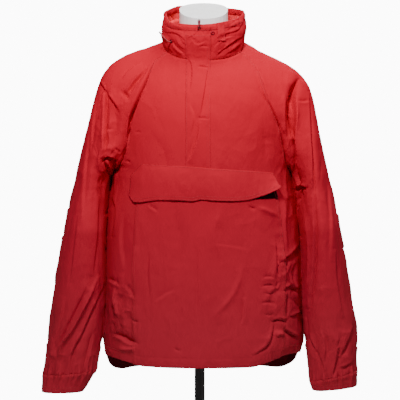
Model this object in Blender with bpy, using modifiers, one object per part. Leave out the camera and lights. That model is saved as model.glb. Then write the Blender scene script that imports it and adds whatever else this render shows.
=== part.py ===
"""A pullover anorak on a limbless dress form with a pole and a round base.

Metres, +Z up, the front of the garment faces -Y. The origin is on the floor, under the pole.
Every cloth piece is a grid of outer points, rows from the hem upwards and points from the
wearer's right (-X) to the left (+X), thickened inwards into a closed wall. Pieces that meet at
a seam share its points, and each edge is then drawn back by half the seam gap.
"""

import math

import bmesh
import bpy
import numpy as np
from mathutils import Matrix, Vector

# ---------------------------------------------------------------- driving dimensions
WALL = 0.0015            # shell cloth with its seam allowances
COLLAR_WALL = 0.0026     # collar, lined and stuffed
PATCH_WALL = 0.0012      # flaps, pouch and bands sewn on a panel
SEAM_GAP = 0.0003
LIFT = 0.0005            # a sewn-on piece over the panel under it

HEM_SIDE_Z = 0.266
HEM_CURVE_COLUMNS = 2.0
HEM_FADE = 1.6            # how fast the hem's curve dies out in the rows above it
FRONT_HEM_DROP = 0.004
BACK_HEM_DROP = 0.052
UNDERARM_Z = 0.685
ROWS_LOW = 16            # hem to underarm
ROWS_UP = 12             # underarm to neckline
POUCH_TOP_ROW = 16
FLAP_BOTTOM_ROW = 14
FLAP_TOP_ROW = 17
STORM_FLAP_COLLAR_ROWS = 4
STRAP_ROWS = (3, 6)       # of the collar
STRAP_COLUMNS = (4, 6)

NECK_X = 0.006
NECK_HALF_WIDTH = 0.091
NECK_FRONT = 0.078
NECK_BACK = 0.062
NECK_POWER = 0.92         # a little squarer than an ellipse
NECK_SIDE_Z = 0.985
NECK_FRONT_DROP = 0.043
NECK_FRONT_POWER = 0.8
NECK_BACK_DROP = 0.003
NECK_EASE = 3.2           # how fast the neckline's curve dies out in the rows below it
CAP_EASE = 4.0
FRONT_CORNER = math.radians(24)   # where the front raglan seam meets the neckline
BACK_CORNER = math.radians(-42)

PLACKET_LEFT = -0.034
PLACKET_RIGHT = 0.021
PLACKET_MID = -0.005
POUCH_CLEAR = 0.013               # from the placket, at the least
POUCH_LEFT_SHARE = 0.69           # of the panel's half-width
POUCH_RIGHT_SHARE = 0.80

# Columns of the front panel between its fixed upright lines
COLUMNS = {"side_left": 4, "pouch_left": 5, "placket": 4, "pouch_right": 7, "side_right": 4}
BACK_COLUMNS = 14
SLEEVE_COLUMNS = 16
COLLAR_ROWS = 6

# Front elevation: what the eye sees from this far in front, and from this much above
VIEW_DISTANCE = 3.2
VIEW_RISE = math.radians(4.5)
VIEW_CENTRE_Z = 0.624
STEP = 0.0023                     # one step of the elevation's drawing grid
STEP_X0 = 201.0
STEP_Z0 = 1.0841

# Where a seam's normals face each other, as under the arm, their sum is turned down
FACING_EACH_OTHER = 0.2
FACING_DOWN = 0.5
SEAM_SHARE = 0.6                  # each piece draws back by this share of the seam gap

# Body sections: height, centre, half-width, front and back depth
BODY = [
    dict(z=0.220, cx=0.002, half=0.221, front=0.150, back=0.146),
    dict(z=0.262, cx=0.002, half=0.223, front=0.150, back=0.146),
    dict(z=0.300, cx=0.006, half=0.2280, front=0.149, back=0.145),
    dict(z=0.400, cx=0.006, half=0.2280, front=0.146, back=0.140),
    dict(z=0.500, cx=0.006, half=0.2260, front=0.143, back=0.134),
    dict(z=0.600, cx=0.004, half=0.2170, front=0.140, back=0.130),
    dict(z=0.685, cx=0.002, half=0.2030, front=0.137, back=0.130),
    dict(z=0.760, cx=0.002, half=0.2030, front=0.133, back=0.128),
    dict(z=0.820, cx=0.003, half=0.2080, front=0.125, back=0.124),
    dict(z=0.870, cx=0.004, half=0.2100, front=0.112, back=0.116),
    dict(z=0.910, cx=0.005, half=0.2000, front=0.096, back=0.104),
    dict(z=0.940, cx=0.006, half=0.1650, front=0.082, back=0.088),
    dict(z=0.965, cx=0.006, half=0.1350, front=0.074, back=0.070),
    dict(z=0.990, cx=0.006, half=0.1000, front=0.070, back=0.062),
]
FINE = 48                         # points of a curve before it is evenly divided
CAP_SPREAD = 0.25                 # how far the underarm rows swing outwards
SOFTEN_TIMES = 4
BODY_POWER = 2.25                 # 2 is an ellipse, more is squarer
BODY_Y = 0.012                    # the side seams lie a little to the back
SLEEVE_Y = -0.028                 # the sleeves hang a little to the front
SLEEVE_Y_SHARE = 0.26             # reached this far down the sleeve

# Raglan seams: height, and how far out the front and back seams stand on each side
RAGLAN = [
    dict(z=0.685, front_left=-0.2010, front_right=0.2050, back_left=-0.2010, back_right=0.2050),
    dict(z=0.700, front_left=-0.1880, front_right=0.1970, back_left=-0.1900, back_right=0.1960),
    dict(z=0.720, front_left=-0.1760, front_right=0.1900, back_left=-0.1820, back_right=0.1880),
    dict(z=0.760, front_left=-0.1660, front_right=0.1830, back_left=-0.1720, back_right=0.1790),
    dict(z=0.800, front_left=-0.1600, front_right=0.1740, back_left=-0.1600, back_right=0.1680),
    dict(z=0.840, front_left=-0.1500, front_right=0.1570, back_left=-0.1440, back_right=0.1530),
    dict(z=0.880, front_left=-0.1340, front_right=0.1440, back_left=-0.1240, back_right=0.1340),
    dict(z=0.920, front_left=-0.1180, front_right=0.1290, back_left=-0.1010, back_right=0.1120),
    dict(z=0.950, front_left=-0.1000, front_right=0.1080, back_left=-0.0800, back_right=0.0910),
    dict(z=0.966, front_left=-0.0790, front_right=0.0900, back_left=-0.0620, back_right=0.0730),
]

# Sleeve cap: share of the way up the raglan seam, outermost point, and how full it stands
CAP_LEFT = [
    dict(s=0.00, x=-0.2830, z=0.700, full=0.300, swing=1.00),
    dict(s=0.20, x=-0.2715, z=0.754, full=0.215, swing=0.70),
    dict(s=0.40, x=-0.2580, z=0.810, full=0.165, swing=0.40),
    dict(s=0.55, x=-0.2490, z=0.855, full=0.140, swing=0.20),
    dict(s=0.68, x=-0.2370, z=0.898, full=0.125, swing=0.08),
    dict(s=0.78, x=-0.2250, z=0.928, full=0.115, swing=0.00),
    dict(s=0.86, x=-0.2030, z=0.9500, full=0.105, swing=0.00),
    dict(s=0.93, x=-0.1600, z=0.9700, full=0.095, swing=0.00),
    dict(s=1.00, x=-0.0850, z=0.9860, full=0.085, swing=0.00),
]
CAP_RIGHT = [
    dict(s=0.00, x=0.2900, z=0.700, full=0.300, swing=1.00),
    dict(s=0.20, x=0.2780, z=0.754, full=0.215, swing=0.70),
    dict(s=0.40, x=0.2670, z=0.810, full=0.165, swing=0.40),
    dict(s=0.55, x=0.2600, z=0.855, full=0.140, swing=0.20),
    dict(s=0.68, x=0.2470, z=0.896, full=0.125, swing=0.08),
    dict(s=0.78, x=0.2290, z=0.9220, full=0.115, swing=0.00),
    dict(s=0.86, x=0.1960, z=0.9390, full=0.105, swing=0.00),
    dict(s=0.93, x=0.1500, z=0.9590, full=0.095, swing=0.00),
    dict(s=1.00, x=0.0970, z=0.9840, full=0.085, swing=0.00),
]

# Sleeve tube below the underarm: outer and inner edge, and half its depth, front to back
TUBE_LEFT = [
    dict(t=0.00, out_x=-0.2830, out_z=0.700, in_x=-0.2010, in_z=0.685, deep=0.0750),
    dict(t=0.10, out_x=-0.2910, out_z=0.647, in_x=-0.2130, in_z=0.637, deep=0.0745),
    dict(t=0.20, out_x=-0.3000, out_z=0.594, in_x=-0.2190, in_z=0.588, deep=0.0735),
    dict(t=0.40, out_x=-0.3180, out_z=0.500, in_x=-0.2215, in_z=0.500, deep=0.0680),
    dict(t=0.60, out_x=-0.3350, out_z=0.406, in_x=-0.2225, in_z=0.410, deep=0.0600),
    dict(t=0.80, out_x=-0.3490, out_z=0.316, in_x=-0.2280, in_z=0.322, deep=0.0520),
    dict(t=1.00, out_x=-0.3640, out_z=0.226, in_x=-0.2410, in_z=0.236, deep=0.0420),
]
TUBE_RIGHT = [
    dict(t=0.00, out_x=0.2900, out_z=0.700, in_x=0.2050, in_z=0.685, deep=0.0750),
    dict(t=0.10, out_x=0.2985, out_z=0.647, in_x=0.2190, in_z=0.637, deep=0.0745),
    dict(t=0.20, out_x=0.3070, out_z=0.594, in_x=0.2275, in_z=0.588, deep=0.0735),
    dict(t=0.40, out_x=0.3235, out_z=0.500, in_x=0.2330, in_z=0.500, deep=0.0680),
    dict(t=0.60, out_x=0.3380, out_z=0.406, in_x=0.2350, in_z=0.410, deep=0.0600),
    dict(t=0.80, out_x=0.3540, out_z=0.318, in_x=0.2410, in_z=0.314, deep=0.0520),
    dict(t=1.00, out_x=0.3580, out_z=0.237, in_x=0.2510, in_z=0.211, deep=0.0420),
]
CUFF_LEFT = dict(out_x=-0.3680, out_z=0.1850, in_x=-0.2690, in_z=0.1850, deep=0.0340)
CUFF_RIGHT = dict(out_x=0.3590, out_z=0.1990, in_x=0.2570, in_z=0.1880, deep=0.0340)
CUFF_ROWS = 3
TUBE_POWER = 2.1

COLLAR_LEAN = 0.004       # its top edge leans to the front

# Collar: share of its height, how far out it stands, and how its top edge rises round the neck
COLLAR = [
    dict(h=0.00, out=0.0000),
    dict(h=0.20, out=0.0035),
    dict(h=0.45, out=0.0055),
    dict(h=0.70, out=0.0045),
    dict(h=1.00, out=-0.0010),
]
COLLAR_TOP = [
    dict(turn=-180.0, z=1.060),
    dict(turn=-135.0, z=1.068),
    dict(turn=-90.0, z=1.069),
    dict(turn=0.0, z=1.053),
    dict(turn=40.0, z=1.034),
    dict(turn=90.0, z=1.020),
    dict(turn=140.0, z=1.028),
    dict(turn=180.0, z=1.058),
]

# Dress form: height, centre, half-width, front and back depth
FORM = [
    dict(z=0.330, cx=0.004, half=0.160, front=0.104, back=0.100),
    dict(z=0.360, cx=0.004, half=0.166, front=0.110, back=0.106),
    dict(z=0.460, cx=0.004, half=0.156, front=0.108, back=0.098),
    dict(z=0.560, cx=0.004, half=0.148, front=0.104, back=0.092),
    dict(z=0.680, cx=0.004, half=0.164, front=0.110, back=0.102),
    dict(z=0.780, cx=0.004, half=0.178, front=0.112, back=0.108),
    dict(z=0.850, cx=0.004, half=0.186, front=0.098, back=0.102),
    dict(z=0.890, cx=0.005, half=0.184, front=0.084, back=0.092),
    dict(z=0.9243, cx=0.006, half=0.1620, front=0.067, back=0.077),
    dict(z=0.9450, cx=0.006, half=0.1205, front=0.058, back=0.066),
    dict(z=0.960, cx=0.006, half=0.078, front=0.054, back=0.058),
    dict(z=0.985, cx=0.006, half=0.060, front=0.056, back=0.048),
    dict(z=1.010, cx=0.006, half=0.0555, front=0.058, back=0.044),
    dict(z=1.055, cx=0.006, half=0.0550, front=0.060, back=0.042),
]
FORM_SIDES = 28
FORM_POWER = 2.15
NECK_TILT = math.radians(22)      # the neck's flat top leans to the front
NECK_TILT_Y = -0.010              # about this line
POLE_RADIUS = 0.012
POLE_X = -0.003
BASE_RADIUS = 0.150
BASE_HEIGHT = 0.014
BASE_EDGE = 0.004
SOCKET_RADIUS = 0.020
SOCKET_HEIGHT = 0.030

FACING_GAIN = 1.6                 # folds stand at full depth on cloth that faces the eye
FOLD_REACH = 3.0                  # half-widths
FOLD_TAPER = 4.0                  # a fold dies out over a quarter of its length at each end
FOLD_END_SHARE = 0.35             # of its depth is left there

# Largest folds, in steps of the front elevation: route, half-width and depth (- is a trough)
FRONT_FOLDS = [
    dict(route=[(104, 90), (112, 101), (121, 116)], wide=6.0, deep=-0.0090),
    dict(route=[(146, 66), (138, 80), (127, 94)], wide=6.0, deep=-0.0050),
    dict(route=[(101, 152), (108, 164), (119, 180)], wide=6.5, deep=-0.0160),
    dict(route=[(104, 104), (105, 126), (107, 148)], wide=6.0, deep=-0.0070),
    dict(route=[(288, 98), (287, 122), (291, 148)], wide=6.0, deep=-0.0090),
    dict(route=[(299, 84), (295, 104), (294, 136), (298, 172)], wide=5.0, deep=-0.0070),
    dict(route=[(303, 176), (300, 188), (305, 202)], wide=6.5, deep=-0.0150),
    dict(route=[(311, 104), (314, 200), (313, 288)], wide=5.5, deep=-0.0065),
    dict(route=[(95, 270), (85, 304), (72, 334), (61, 360)], wide=6.5, deep=0.0075),
    dict(route=[(103, 286), (93, 312), (84, 332), (75, 354)], wide=5.5, deep=-0.0065),
    dict(route=[(150, 246), (150, 275), (151, 302)], wide=6.0, deep=-0.0050),
    dict(route=[(243, 268), (237, 290), (227, 304), (216, 316)], wide=6.5, deep=0.0055),
    dict(route=[(299, 244), (289, 256), (280, 264)], wide=6.0, deep=-0.0075),
    dict(route=[(114, 282), (116, 300), (118, 322)], wide=6.0, deep=0.0060),
    dict(route=[(113, 337), (125, 341), (136, 344)], wide=5.5, deep=-0.0080),
    dict(route=[(284, 331), (292, 337), (299, 342)], wide=5.5, deep=-0.0080),
    dict(route=[(274, 322), (266, 344), (254, 356)], wide=5.5, deep=-0.0050),
    dict(route=[(284, 202), (284, 226), (286, 250)], wide=5.5, deep=0.0050),
    dict(route=[(340, 350), (336, 364), (333, 376)], wide=5.5, deep=-0.0050),
    dict(route=[(168, 172), (166, 150), (150, 130)], wide=7.0, deep=-0.0035),
]
BACK_FOLDS = [
    dict(route=[(108, 92), (118, 112), (126, 132)], wide=6.5, deep=-0.0080),
    dict(route=[(292, 92), (284, 112), (277, 132)], wide=6.5, deep=-0.0080),
    dict(route=[(102, 154), (110, 168), (122, 190)], wide=6.5, deep=-0.0140),
    dict(route=[(304, 166), (296, 184), (286, 204)], wide=6.5, deep=-0.0140),
    dict(route=[(158, 116), (166, 170), (163, 236)], wide=8.0, deep=-0.0070),
    dict(route=[(248, 124), (239, 190), (243, 256)], wide=8.0, deep=-0.0070),
    dict(route=[(200, 200), (204, 262), (199, 330)], wide=8.0, deep=0.0065),
    dict(route=[(132, 244), (137, 290), (131, 344)], wide=7.0, deep=-0.0070),
    dict(route=[(268, 258), (264, 300), (271, 348)], wide=7.0, deep=-0.0070),
    dict(route=[(93, 262), (82, 302), (72, 338)], wide=6.0, deep=-0.0065),
    dict(route=[(325, 250), (330, 296), (336, 340)], wide=6.0, deep=-0.0065),
]

# Pocket flap: how far its lower edge and its lifted right corner stand off
FLAP_FALL = 0.0012
FLAP_CORNER = 0.0055
FLAP_CORNER_COLUMNS = 3

# Zip slider and its pull, standing up from a hinge line across the slider
SLIDER_OFF = 0.0039               # from the collar's top edge, clear of the casing
SLIDER_WIDE = 0.0076
SLIDER_TALL = 0.0070
SLIDER_BELOW = 0.75               # share of it that is below the collar's edge
SLIDER_PLATE = 0.0024
SLIDER_LUG = 0.0018
SLIDER_LUG_REACH = 0.0042
PULL_KNUCKLE = 0.0012
PULL_NECK_WIDE = 0.0030
PULL_WIDE = 0.0066
PULL_LENGTH = 0.0165
PULL_THICK = 0.0014
PULL_FLARE = 0.0052

# Drawcord end: where it leaves the collar, and its free route from there
CORD_RADIUS = 0.0015
CORD_TURN = 137.0
CORD_HEIGHT = 0.42
CORD_STRAIGHT = 0.0040
CORD_ROUTE = [(-0.0062, -0.0084, 0.0004), (-0.0102, -0.0116, 0.0034),
              (-0.0146, -0.0128, 0.0080), (-0.0186, -0.0116, 0.0128),
              (-0.0222, -0.0088, 0.0170)]
CORD_POINTS = 22
TIP_RADIUS = 0.0020
TIP_LENGTH = 0.0065
EYELET_OUTER = 0.0044
EYELET_INNER = 0.0021
EYELET_THICK = 0.0010
EYELET_TURN = 79.0
EYELET_HEIGHT = 0.74

COLOURS = {
    "shell": (0.58, 0.035, 0.045, 1.0),
    "form": (0.86, 0.86, 0.84, 1.0),
    "stand": (0.012, 0.012, 0.013, 1.0),
    "cord": (0.35, 0.02, 0.03, 1.0),
    "cord_tip": (0.05, 0.04, 0.04, 1.0),
    "zip": (0.26, 0.02, 0.05, 1.0),
    "metal": (0.10, 0.09, 0.09, 1.0),
}


# ---------------------------------------------------------------- helpers
def read_table(rows, key, at):
    """The other columns of a table at one value of its key, on a smooth curve through its rows."""
    keys = [row[key] for row in rows]
    names = [name for name in rows[0] if name != key]
    if at <= keys[0]:
        return {name: rows[0][name] for name in names}
    if at >= keys[-1]:
        return {name: rows[-1][name] for name in names}
    i = next(n for n in range(len(keys) - 1) if keys[n] <= at <= keys[n + 1])
    span = keys[i + 1] - keys[i]
    t = (at - keys[i]) / span
    found = {}
    for name in names:
        values = [row[name] for row in rows]

        def slope(n):
            low = max(n - 1, 0)
            high = min(n + 1, len(keys) - 1)
            return (values[high] - values[low]) / (keys[high] - keys[low])

        a = values[i]
        b = values[i + 1]
        found[name] = (
            a * (2 * t**3 - 3 * t**2 + 1)
            + slope(i) * span * (t**3 - 2 * t**2 + t)
            + b * (3 * t**2 - 2 * t**3)
            + slope(i + 1) * span * (t**3 - t**2)
        )
    return found


def ring_depth(section, x, side, power):
    """How far a section stands out to the front (-1) or back (+1) at x."""
    share = min(abs(x - section["cx"]) / section["half"], 1.0)
    deep = section["front"] if side < 0 else section["back"]
    return BODY_Y + (side * deep - BODY_Y) * (1.0 - share**power) ** (1.0 / power)


def resample(points, count):
    """Points evenly spaced along a polyline."""
    points = np.asarray(points)
    steps = np.linalg.norm(np.diff(points, axis=0), axis=1)
    along = np.concatenate([[0.0], np.cumsum(steps)])
    wanted = np.linspace(0.0, along[-1], count + 1)
    return np.stack([np.interp(wanted, along, points[:, n]) for n in range(3)], axis=1)


def neck_point(turn):
    """A point of the neckline: 0 is the wearer's left side, a quarter turn the centre front."""
    across = math.cos(turn)
    ahead = math.sin(turn)
    x = NECK_X + NECK_HALF_WIDTH * math.copysign(abs(across) ** NECK_POWER, across)
    deep = NECK_FRONT if ahead > 0 else NECK_BACK
    y = -deep * math.copysign(abs(ahead) ** NECK_POWER, ahead)
    front = NECK_FRONT_DROP * max(ahead, 0.0) ** NECK_FRONT_POWER
    back = NECK_BACK_DROP * max(-ahead, 0.0)
    return np.array([x, y, NECK_SIDE_Z - front - back])


# ---------------------------------------------------------------- body panels
def row_height(row):
    """Height of a row at the side of a body panel, before the hem and neck curves."""
    if row <= ROWS_LOW:
        return HEM_SIDE_Z + (UNDERARM_Z - HEM_SIDE_Z) * row / ROWS_LOW
    return UNDERARM_Z + (RAGLAN[-1]["z"] - UNDERARM_Z) * (row - ROWS_LOW) / ROWS_UP


def body_row(z, left, right, stops, side):
    """One row of a front (-1) or back (+1) panel: x runs through the stops, a few steps each."""
    section = read_table(BODY, "z", z)
    fine = FINE // 2
    lines = []
    for (start, end, steps) in stops:
        xs = np.linspace(start, end, fine * steps + 1)
        if start == left:
            xs = start + (end - start) * (1.0 - np.cos(np.linspace(0.0, math.pi / 2, len(xs))))
        if end == right:
            xs = start + (end - start) * np.sin(np.linspace(0.0, math.pi / 2, len(xs)))
        line = [(x, ring_depth(section, x, side, BODY_POWER), z) for x in xs]
        placed = resample(line, steps)
        lines.append(placed if not lines else placed[1:])
    return np.concatenate(lines)


def front_stops(left, right):
    """The upright lines that the front panel's columns keep to."""
    pouch_left = min(left * POUCH_LEFT_SHARE, PLACKET_LEFT - POUCH_CLEAR)
    pouch_right = max(right * POUCH_RIGHT_SHARE, PLACKET_RIGHT + POUCH_CLEAR)
    half = COLUMNS["placket"] // 2
    return [
        (left, pouch_left, COLUMNS["side_left"]),
        (pouch_left, PLACKET_LEFT, COLUMNS["pouch_left"]),
        (PLACKET_LEFT, PLACKET_MID, half),
        (PLACKET_MID, PLACKET_RIGHT, half),
        (PLACKET_RIGHT, pouch_right, COLUMNS["pouch_right"]),
        (pouch_right, right, COLUMNS["side_right"]),
    ]


def body_panel(side):
    """Rows of outer points, hem to neckline, of the front (-1) or the back (+1)."""
    name = "front" if side < 0 else "back"
    rows = []
    for row in range(ROWS_LOW + ROWS_UP + 1):
        z = row_height(row)
        if row <= ROWS_LOW:
            section = read_table(BODY, "z", z)
            left = section["cx"] - section["half"]
            right = section["cx"] + section["half"]
        else:
            seam = read_table(RAGLAN, "z", z)
            left = seam[name + "_left"]
            right = seam[name + "_right"]
        stops = front_stops(left, right) if side < 0 else [(left, right, BACK_COLUMNS)]
        if side > 0:
            mid = (left + right) / 2.0
            half = BACK_COLUMNS // 2
            stops = [(left, mid, half), (mid, right, half)]
        rows.append(body_row(z, left, right, stops, side))
    rows = np.array(rows)

    # The hem: level in front, dropped at the back
    drop = FRONT_HEM_DROP if side < 0 else BACK_HEM_DROP
    columns = rows.shape[1]
    for row in range(ROWS_LOW):
        fade = (1.0 - row / ROWS_LOW) ** HEM_FADE
        for column in range(columns):
            edge = min(column, columns - 1 - column) / HEM_CURVE_COLUMNS
            rows[row, column, 2] -= drop * fade * math.sin(min(edge, 1.0) * math.pi / 2)

    # The neckline, eased into the rows below it
    corner = FRONT_CORNER if side < 0 else BACK_CORNER
    start = math.pi - corner if side < 0 else -math.pi - corner
    steps = 4 * FINE
    line = [neck_point(start + (corner - start) * n / steps) for n in range(steps + 1)]
    top_x = rows[-1, :, 0]
    share = (top_x - top_x[0]) / (top_x[-1] - top_x[0])
    line = np.array(line)
    line_share = (line[:, 0] - line[0, 0]) / (line[-1, 0] - line[0, 0])
    line_share = np.maximum.accumulate(line_share)
    neck = np.stack([np.interp(share, line_share, line[:, n]) for n in range(3)], axis=1)
    shift = neck - rows[-1]
    for row in range(ROWS_LOW, ROWS_LOW + ROWS_UP + 1):
        rise = (row - ROWS_LOW) / ROWS_UP
        ease = rise**NECK_EASE
        rows[row] += shift * ease
    return rows


# ---------------------------------------------------------------- sleeves, cuffs and collar
def hermite(a, b, leave, arrive, count):
    t = np.linspace(0.0, 1.0, count)[:, None]
    return (
        a * (2 * t**3 - 3 * t**2 + 1)
        + leave * (t**3 - 2 * t**2 + t)
        + b * (3 * t**2 - 2 * t**3)
        + arrive * (t**3 - t**2)
    )


def cap_row(front_point, back_point, front_run, back_run, cap, out):
    """One row over the shoulder, from the front raglan seam to the back one."""
    top = np.array([cap["x"], 0.0, cap["z"]])
    swing = cap["swing"]
    fore = np.array([CAP_SPREAD * out, -1.0, 0.0])
    aft = np.array([CAP_SPREAD * out, 1.0, 0.0])
    leave = swing * fore + (1.0 - swing) * front_run
    leave = leave / np.linalg.norm(leave) * cap["full"]
    arrive = swing * aft + (1.0 - swing) * back_run
    arrive = arrive / np.linalg.norm(arrive) * cap["full"]
    over = np.array([0.0, cap["full"], 0.0])
    front_half = hermite(front_point, top, leave, over, FINE)
    back_half = hermite(top, back_point, over, -arrive, FINE)
    return resample(np.concatenate([front_half, back_half[1:]]), SLEEVE_COLUMNS)


def tube_row(edge, lead):
    """One closed row of a sleeve or cuff, from its inner seam round the front."""
    inner = np.array([edge["in_x"], 0.0, edge["in_z"]])
    outer = np.array([edge["out_x"], 0.0, edge["out_z"]])
    line = []
    for n in range(4 * FINE + 1):
        angle = 0.5 * math.pi * n / FINE
        along = (1.0 - math.copysign(abs(math.cos(angle)) ** (2 / TUBE_POWER), math.cos(angle))) / 2
        deep = math.copysign(abs(math.sin(angle)) ** (2 / TUBE_POWER), math.sin(angle))
        point = inner + (outer - inner) * along
        point[1] = lead - edge["deep"] * deep
        line.append(point)
    return resample(line, SLEEVE_COLUMNS)


def sleeve_panel(front, back, column, cap_table, tube_table, out):
    """Rows of outer points, cuff seam to neckline, round the front to the back."""
    rows = []
    for row in range(ROWS_LOW):
        edge = read_table(tube_table, "t", 1.0 - row / ROWS_LOW)
        ease = min((1.0 - row / ROWS_LOW) / SLEEVE_Y_SHARE, 1.0)
        lead = BODY_Y + (SLEEVE_Y - BODY_Y) * ease * ease * (3.0 - 2.0 * ease)
        rows.append(tube_row(edge, lead))
    inner = 1 if column == 0 else -2
    for row in range(ROWS_LOW, ROWS_LOW + ROWS_UP + 1):
        share = (row - ROWS_LOW) / ROWS_UP
        cap = read_table(cap_table, "s", share)
        front_point = front[row, column]
        back_point = back[row, column]
        front_run = front_point - front[row, inner]
        back_run = back_point - back[row, inner]
        front_run = front_run / np.linalg.norm(front_run)
        back_run = back_run / np.linalg.norm(back_run)
        rows.append(cap_row(front_point, back_point, front_run, back_run, cap, out))
    rows = np.array(rows)

    # The top row follows the neckline
    first, last = FRONT_CORNER, BACK_CORNER
    if out < 0:
        first, last = math.pi - FRONT_CORNER, math.pi - BACK_CORNER
    line = []
    for n in range(SLEEVE_COLUMNS + 1):
        turn = first + (last - first) * n / SLEEVE_COLUMNS
        line.append(neck_point(turn))
    line = np.array(line)
    line[0] = front[-1, column]
    line[-1] = back[-1, column]
    shift = line - rows[-1]
    for row in range(ROWS_LOW, ROWS_LOW + ROWS_UP + 1):
        ease = ((row - ROWS_LOW) / ROWS_UP) ** CAP_EASE
        rows[row] += shift * ease
    return soften(rows, ROWS_LOW - 2)


def soften(rows, start):
    """Evens the inner points of a grid, its edges held."""
    rows = rows.copy()
    for _ in range(SOFTEN_TIMES):
        around = (
            rows[start:-2, 1:-1] + rows[start + 2:, 1:-1]
            + rows[start + 1:-1, :-2] + rows[start + 1:-1, 2:]
        ) / 4.0
        rows[start + 1:-1, 1:-1] += (around - rows[start + 1:-1, 1:-1]) / 2.0
    return rows


def cuff_panel(sleeve, edge, lead):
    """A cuff: its top row is the sleeve's bottom row."""
    low = tube_row(edge, lead)
    rows = [low + (sleeve[0] - low) * n / CUFF_ROWS for n in range(CUFF_ROWS + 1)]
    return np.array(rows)


def collar_panel(front, back, left, right):
    """The stand collar: a strip round the neckline that opens at the centre front."""
    middle = COLUMNS["side_left"] + COLUMNS["pouch_left"] + COLUMNS["placket"] // 2
    base = np.concatenate([
        front[-1, middle:],
        right[-1, 1:],
        back[-1, ::-1][1:],
        left[-1, ::-1][1:],
        front[-1, 1:middle + 1],
    ])
    turns = []
    for point in base:
        share_x = (point[0] - NECK_X) / NECK_HALF_WIDTH
        deep = NECK_FRONT if point[1] < 0 else NECK_BACK
        turns.append(math.atan2(-point[1] / deep, share_x))
    rows = []
    for step in range(COLLAR_ROWS + 1):
        height = step / COLLAR_ROWS
        out = read_table(COLLAR, "h", height)["out"]
        row = []
        for point, turn in zip(base, turns):
            top = read_table(COLLAR_TOP, "turn", math.degrees(turn))["z"]
            away = np.array([math.cos(turn), -math.sin(turn), 0.0])
            lean = np.array([0.0, -COLLAR_LEAN, 0.0]) * height
            place = point + away * out + lean
            place[2] = point[2] + (top - point[2]) * height
            row.append(place)
        rows.append(row)
    return np.array(rows)


# ---------------------------------------------------------------- folds
def elevation(point):
    """Where a point shows in the front elevation, in the drawing's steps."""
    height = point[2] - VIEW_CENTRE_Z
    depth = VIEW_DISTANCE + point[1] * math.cos(VIEW_RISE) - height * math.sin(VIEW_RISE)
    rise = height * math.cos(VIEW_RISE) + point[1] * math.sin(VIEW_RISE)
    scale = VIEW_DISTANCE / depth
    column = STEP_X0 + point[0] * scale / STEP
    row = (STEP_Z0 - VIEW_CENTRE_Z - rise * scale) / STEP
    return column, row


def fold_height(column, row, folds):
    """The summed rise of the folds at one place of the elevation."""
    total = 0.0
    for fold in folds:
        route = np.array(fold["route"], float)
        place = np.array([column, row])
        near = 1e9
        along = 0.0
        for n in range(len(route) - 1):
            run = route[n + 1] - route[n]
            t = float(np.clip(np.dot(place - route[n], run) / np.dot(run, run), 0.0, 1.0))
            away = float(np.linalg.norm(place - route[n] - run * t))
            if away < near:
                near = away
                along = (n + t) / (len(route) - 1)
        if near > FOLD_REACH * fold["wide"]:
            continue
        ends = min(1.0, FOLD_TAPER * along, FOLD_TAPER * (1.0 - along))
        ends = FOLD_END_SHARE + (1.0 - FOLD_END_SHARE) * ends
        total += fold["deep"] * math.exp(-((near / fold["wide"]) ** 2)) * ends
    return total


def grid_normals(rows, closed):
    """Unit normals of a grid's points, pointing out of the garment."""
    along = np.empty_like(rows)
    if closed:
        along[:, 1:-1] = rows[:, 2:] - rows[:, :-2]
        along[:, 0] = rows[:, 1] - rows[:, -2]
        along[:, -1] = along[:, 0]
    else:
        along = np.gradient(rows, axis=1)
    up = np.gradient(rows, axis=0)
    normals = np.cross(along, up)
    return normals / np.maximum(np.linalg.norm(normals, axis=2, keepdims=True), 1e-12)


def border(shape):
    """Rows and columns of a grid's edge points."""
    high, wide = shape[0], shape[1]
    places = {(r, c) for r in range(high) for c in (0, wide - 1)}
    places |= {(r, c) for r in (0, high - 1) for c in range(wide)}
    return sorted(places)


def seam_groups(grids):
    """Edge points of the grids that lie on each other, as lists of (grid, row, column)."""
    found = {}
    for name, rows in grids.items():
        for row, column in border(rows.shape):
            key = tuple(np.round(rows[row, column] * 1e5).astype(int))
            found.setdefault(key, []).append((name, row, column))
    return [group for group in found.values() if len(group) > 1]


def share_normals(grids, normals):
    """One normal for all pieces at each seam point."""
    for group in seam_groups(grids):
        total = sum(normals[name][row, column] for name, row, column in group)
        size = np.linalg.norm(total)
        if size < FACING_EACH_OTHER:
            total = total + np.array([0.0, 0.0, -FACING_DOWN])
            size = np.linalg.norm(total)
        for name, row, column in group:
            normals[name][row, column] = total / size


def inward_run(rows, row, column):
    """The way from an edge point to the inside of its piece."""
    high, wide = rows.shape[0], rows.shape[1]
    way = np.zeros(3)
    if column in (0, wide - 1):
        step = rows[row, 1 if column == 0 else wide - 2] - rows[row, column]
        way += step / np.linalg.norm(step)
    if row in (0, high - 1):
        step = rows[1 if row == 0 else high - 2, column] - rows[row, column]
        way += step / np.linalg.norm(step)
    return way / max(np.linalg.norm(way), 1e-9)


def part_seams(grids):
    """Draws each piece's edge back by half the seam gap."""
    moves = []
    for group in seam_groups(grids):
        ways = [inward_run(grids[name], row, column) for name, row, column in group]
        mean = sum(ways) / len(ways)
        for (name, row, column), way in zip(group, ways):
            apart = way - mean
            apart = apart / max(np.linalg.norm(apart), 1e-9)
            moves.append((name, row, column, apart * SEAM_GAP * SEAM_SHARE))
    for name, row, column, move in moves:
        grids[name][row, column] += move


# ---------------------------------------------------------------- meshes
RIM_ORDER = Vector((0.31, 0.53, 1.0))


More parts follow.
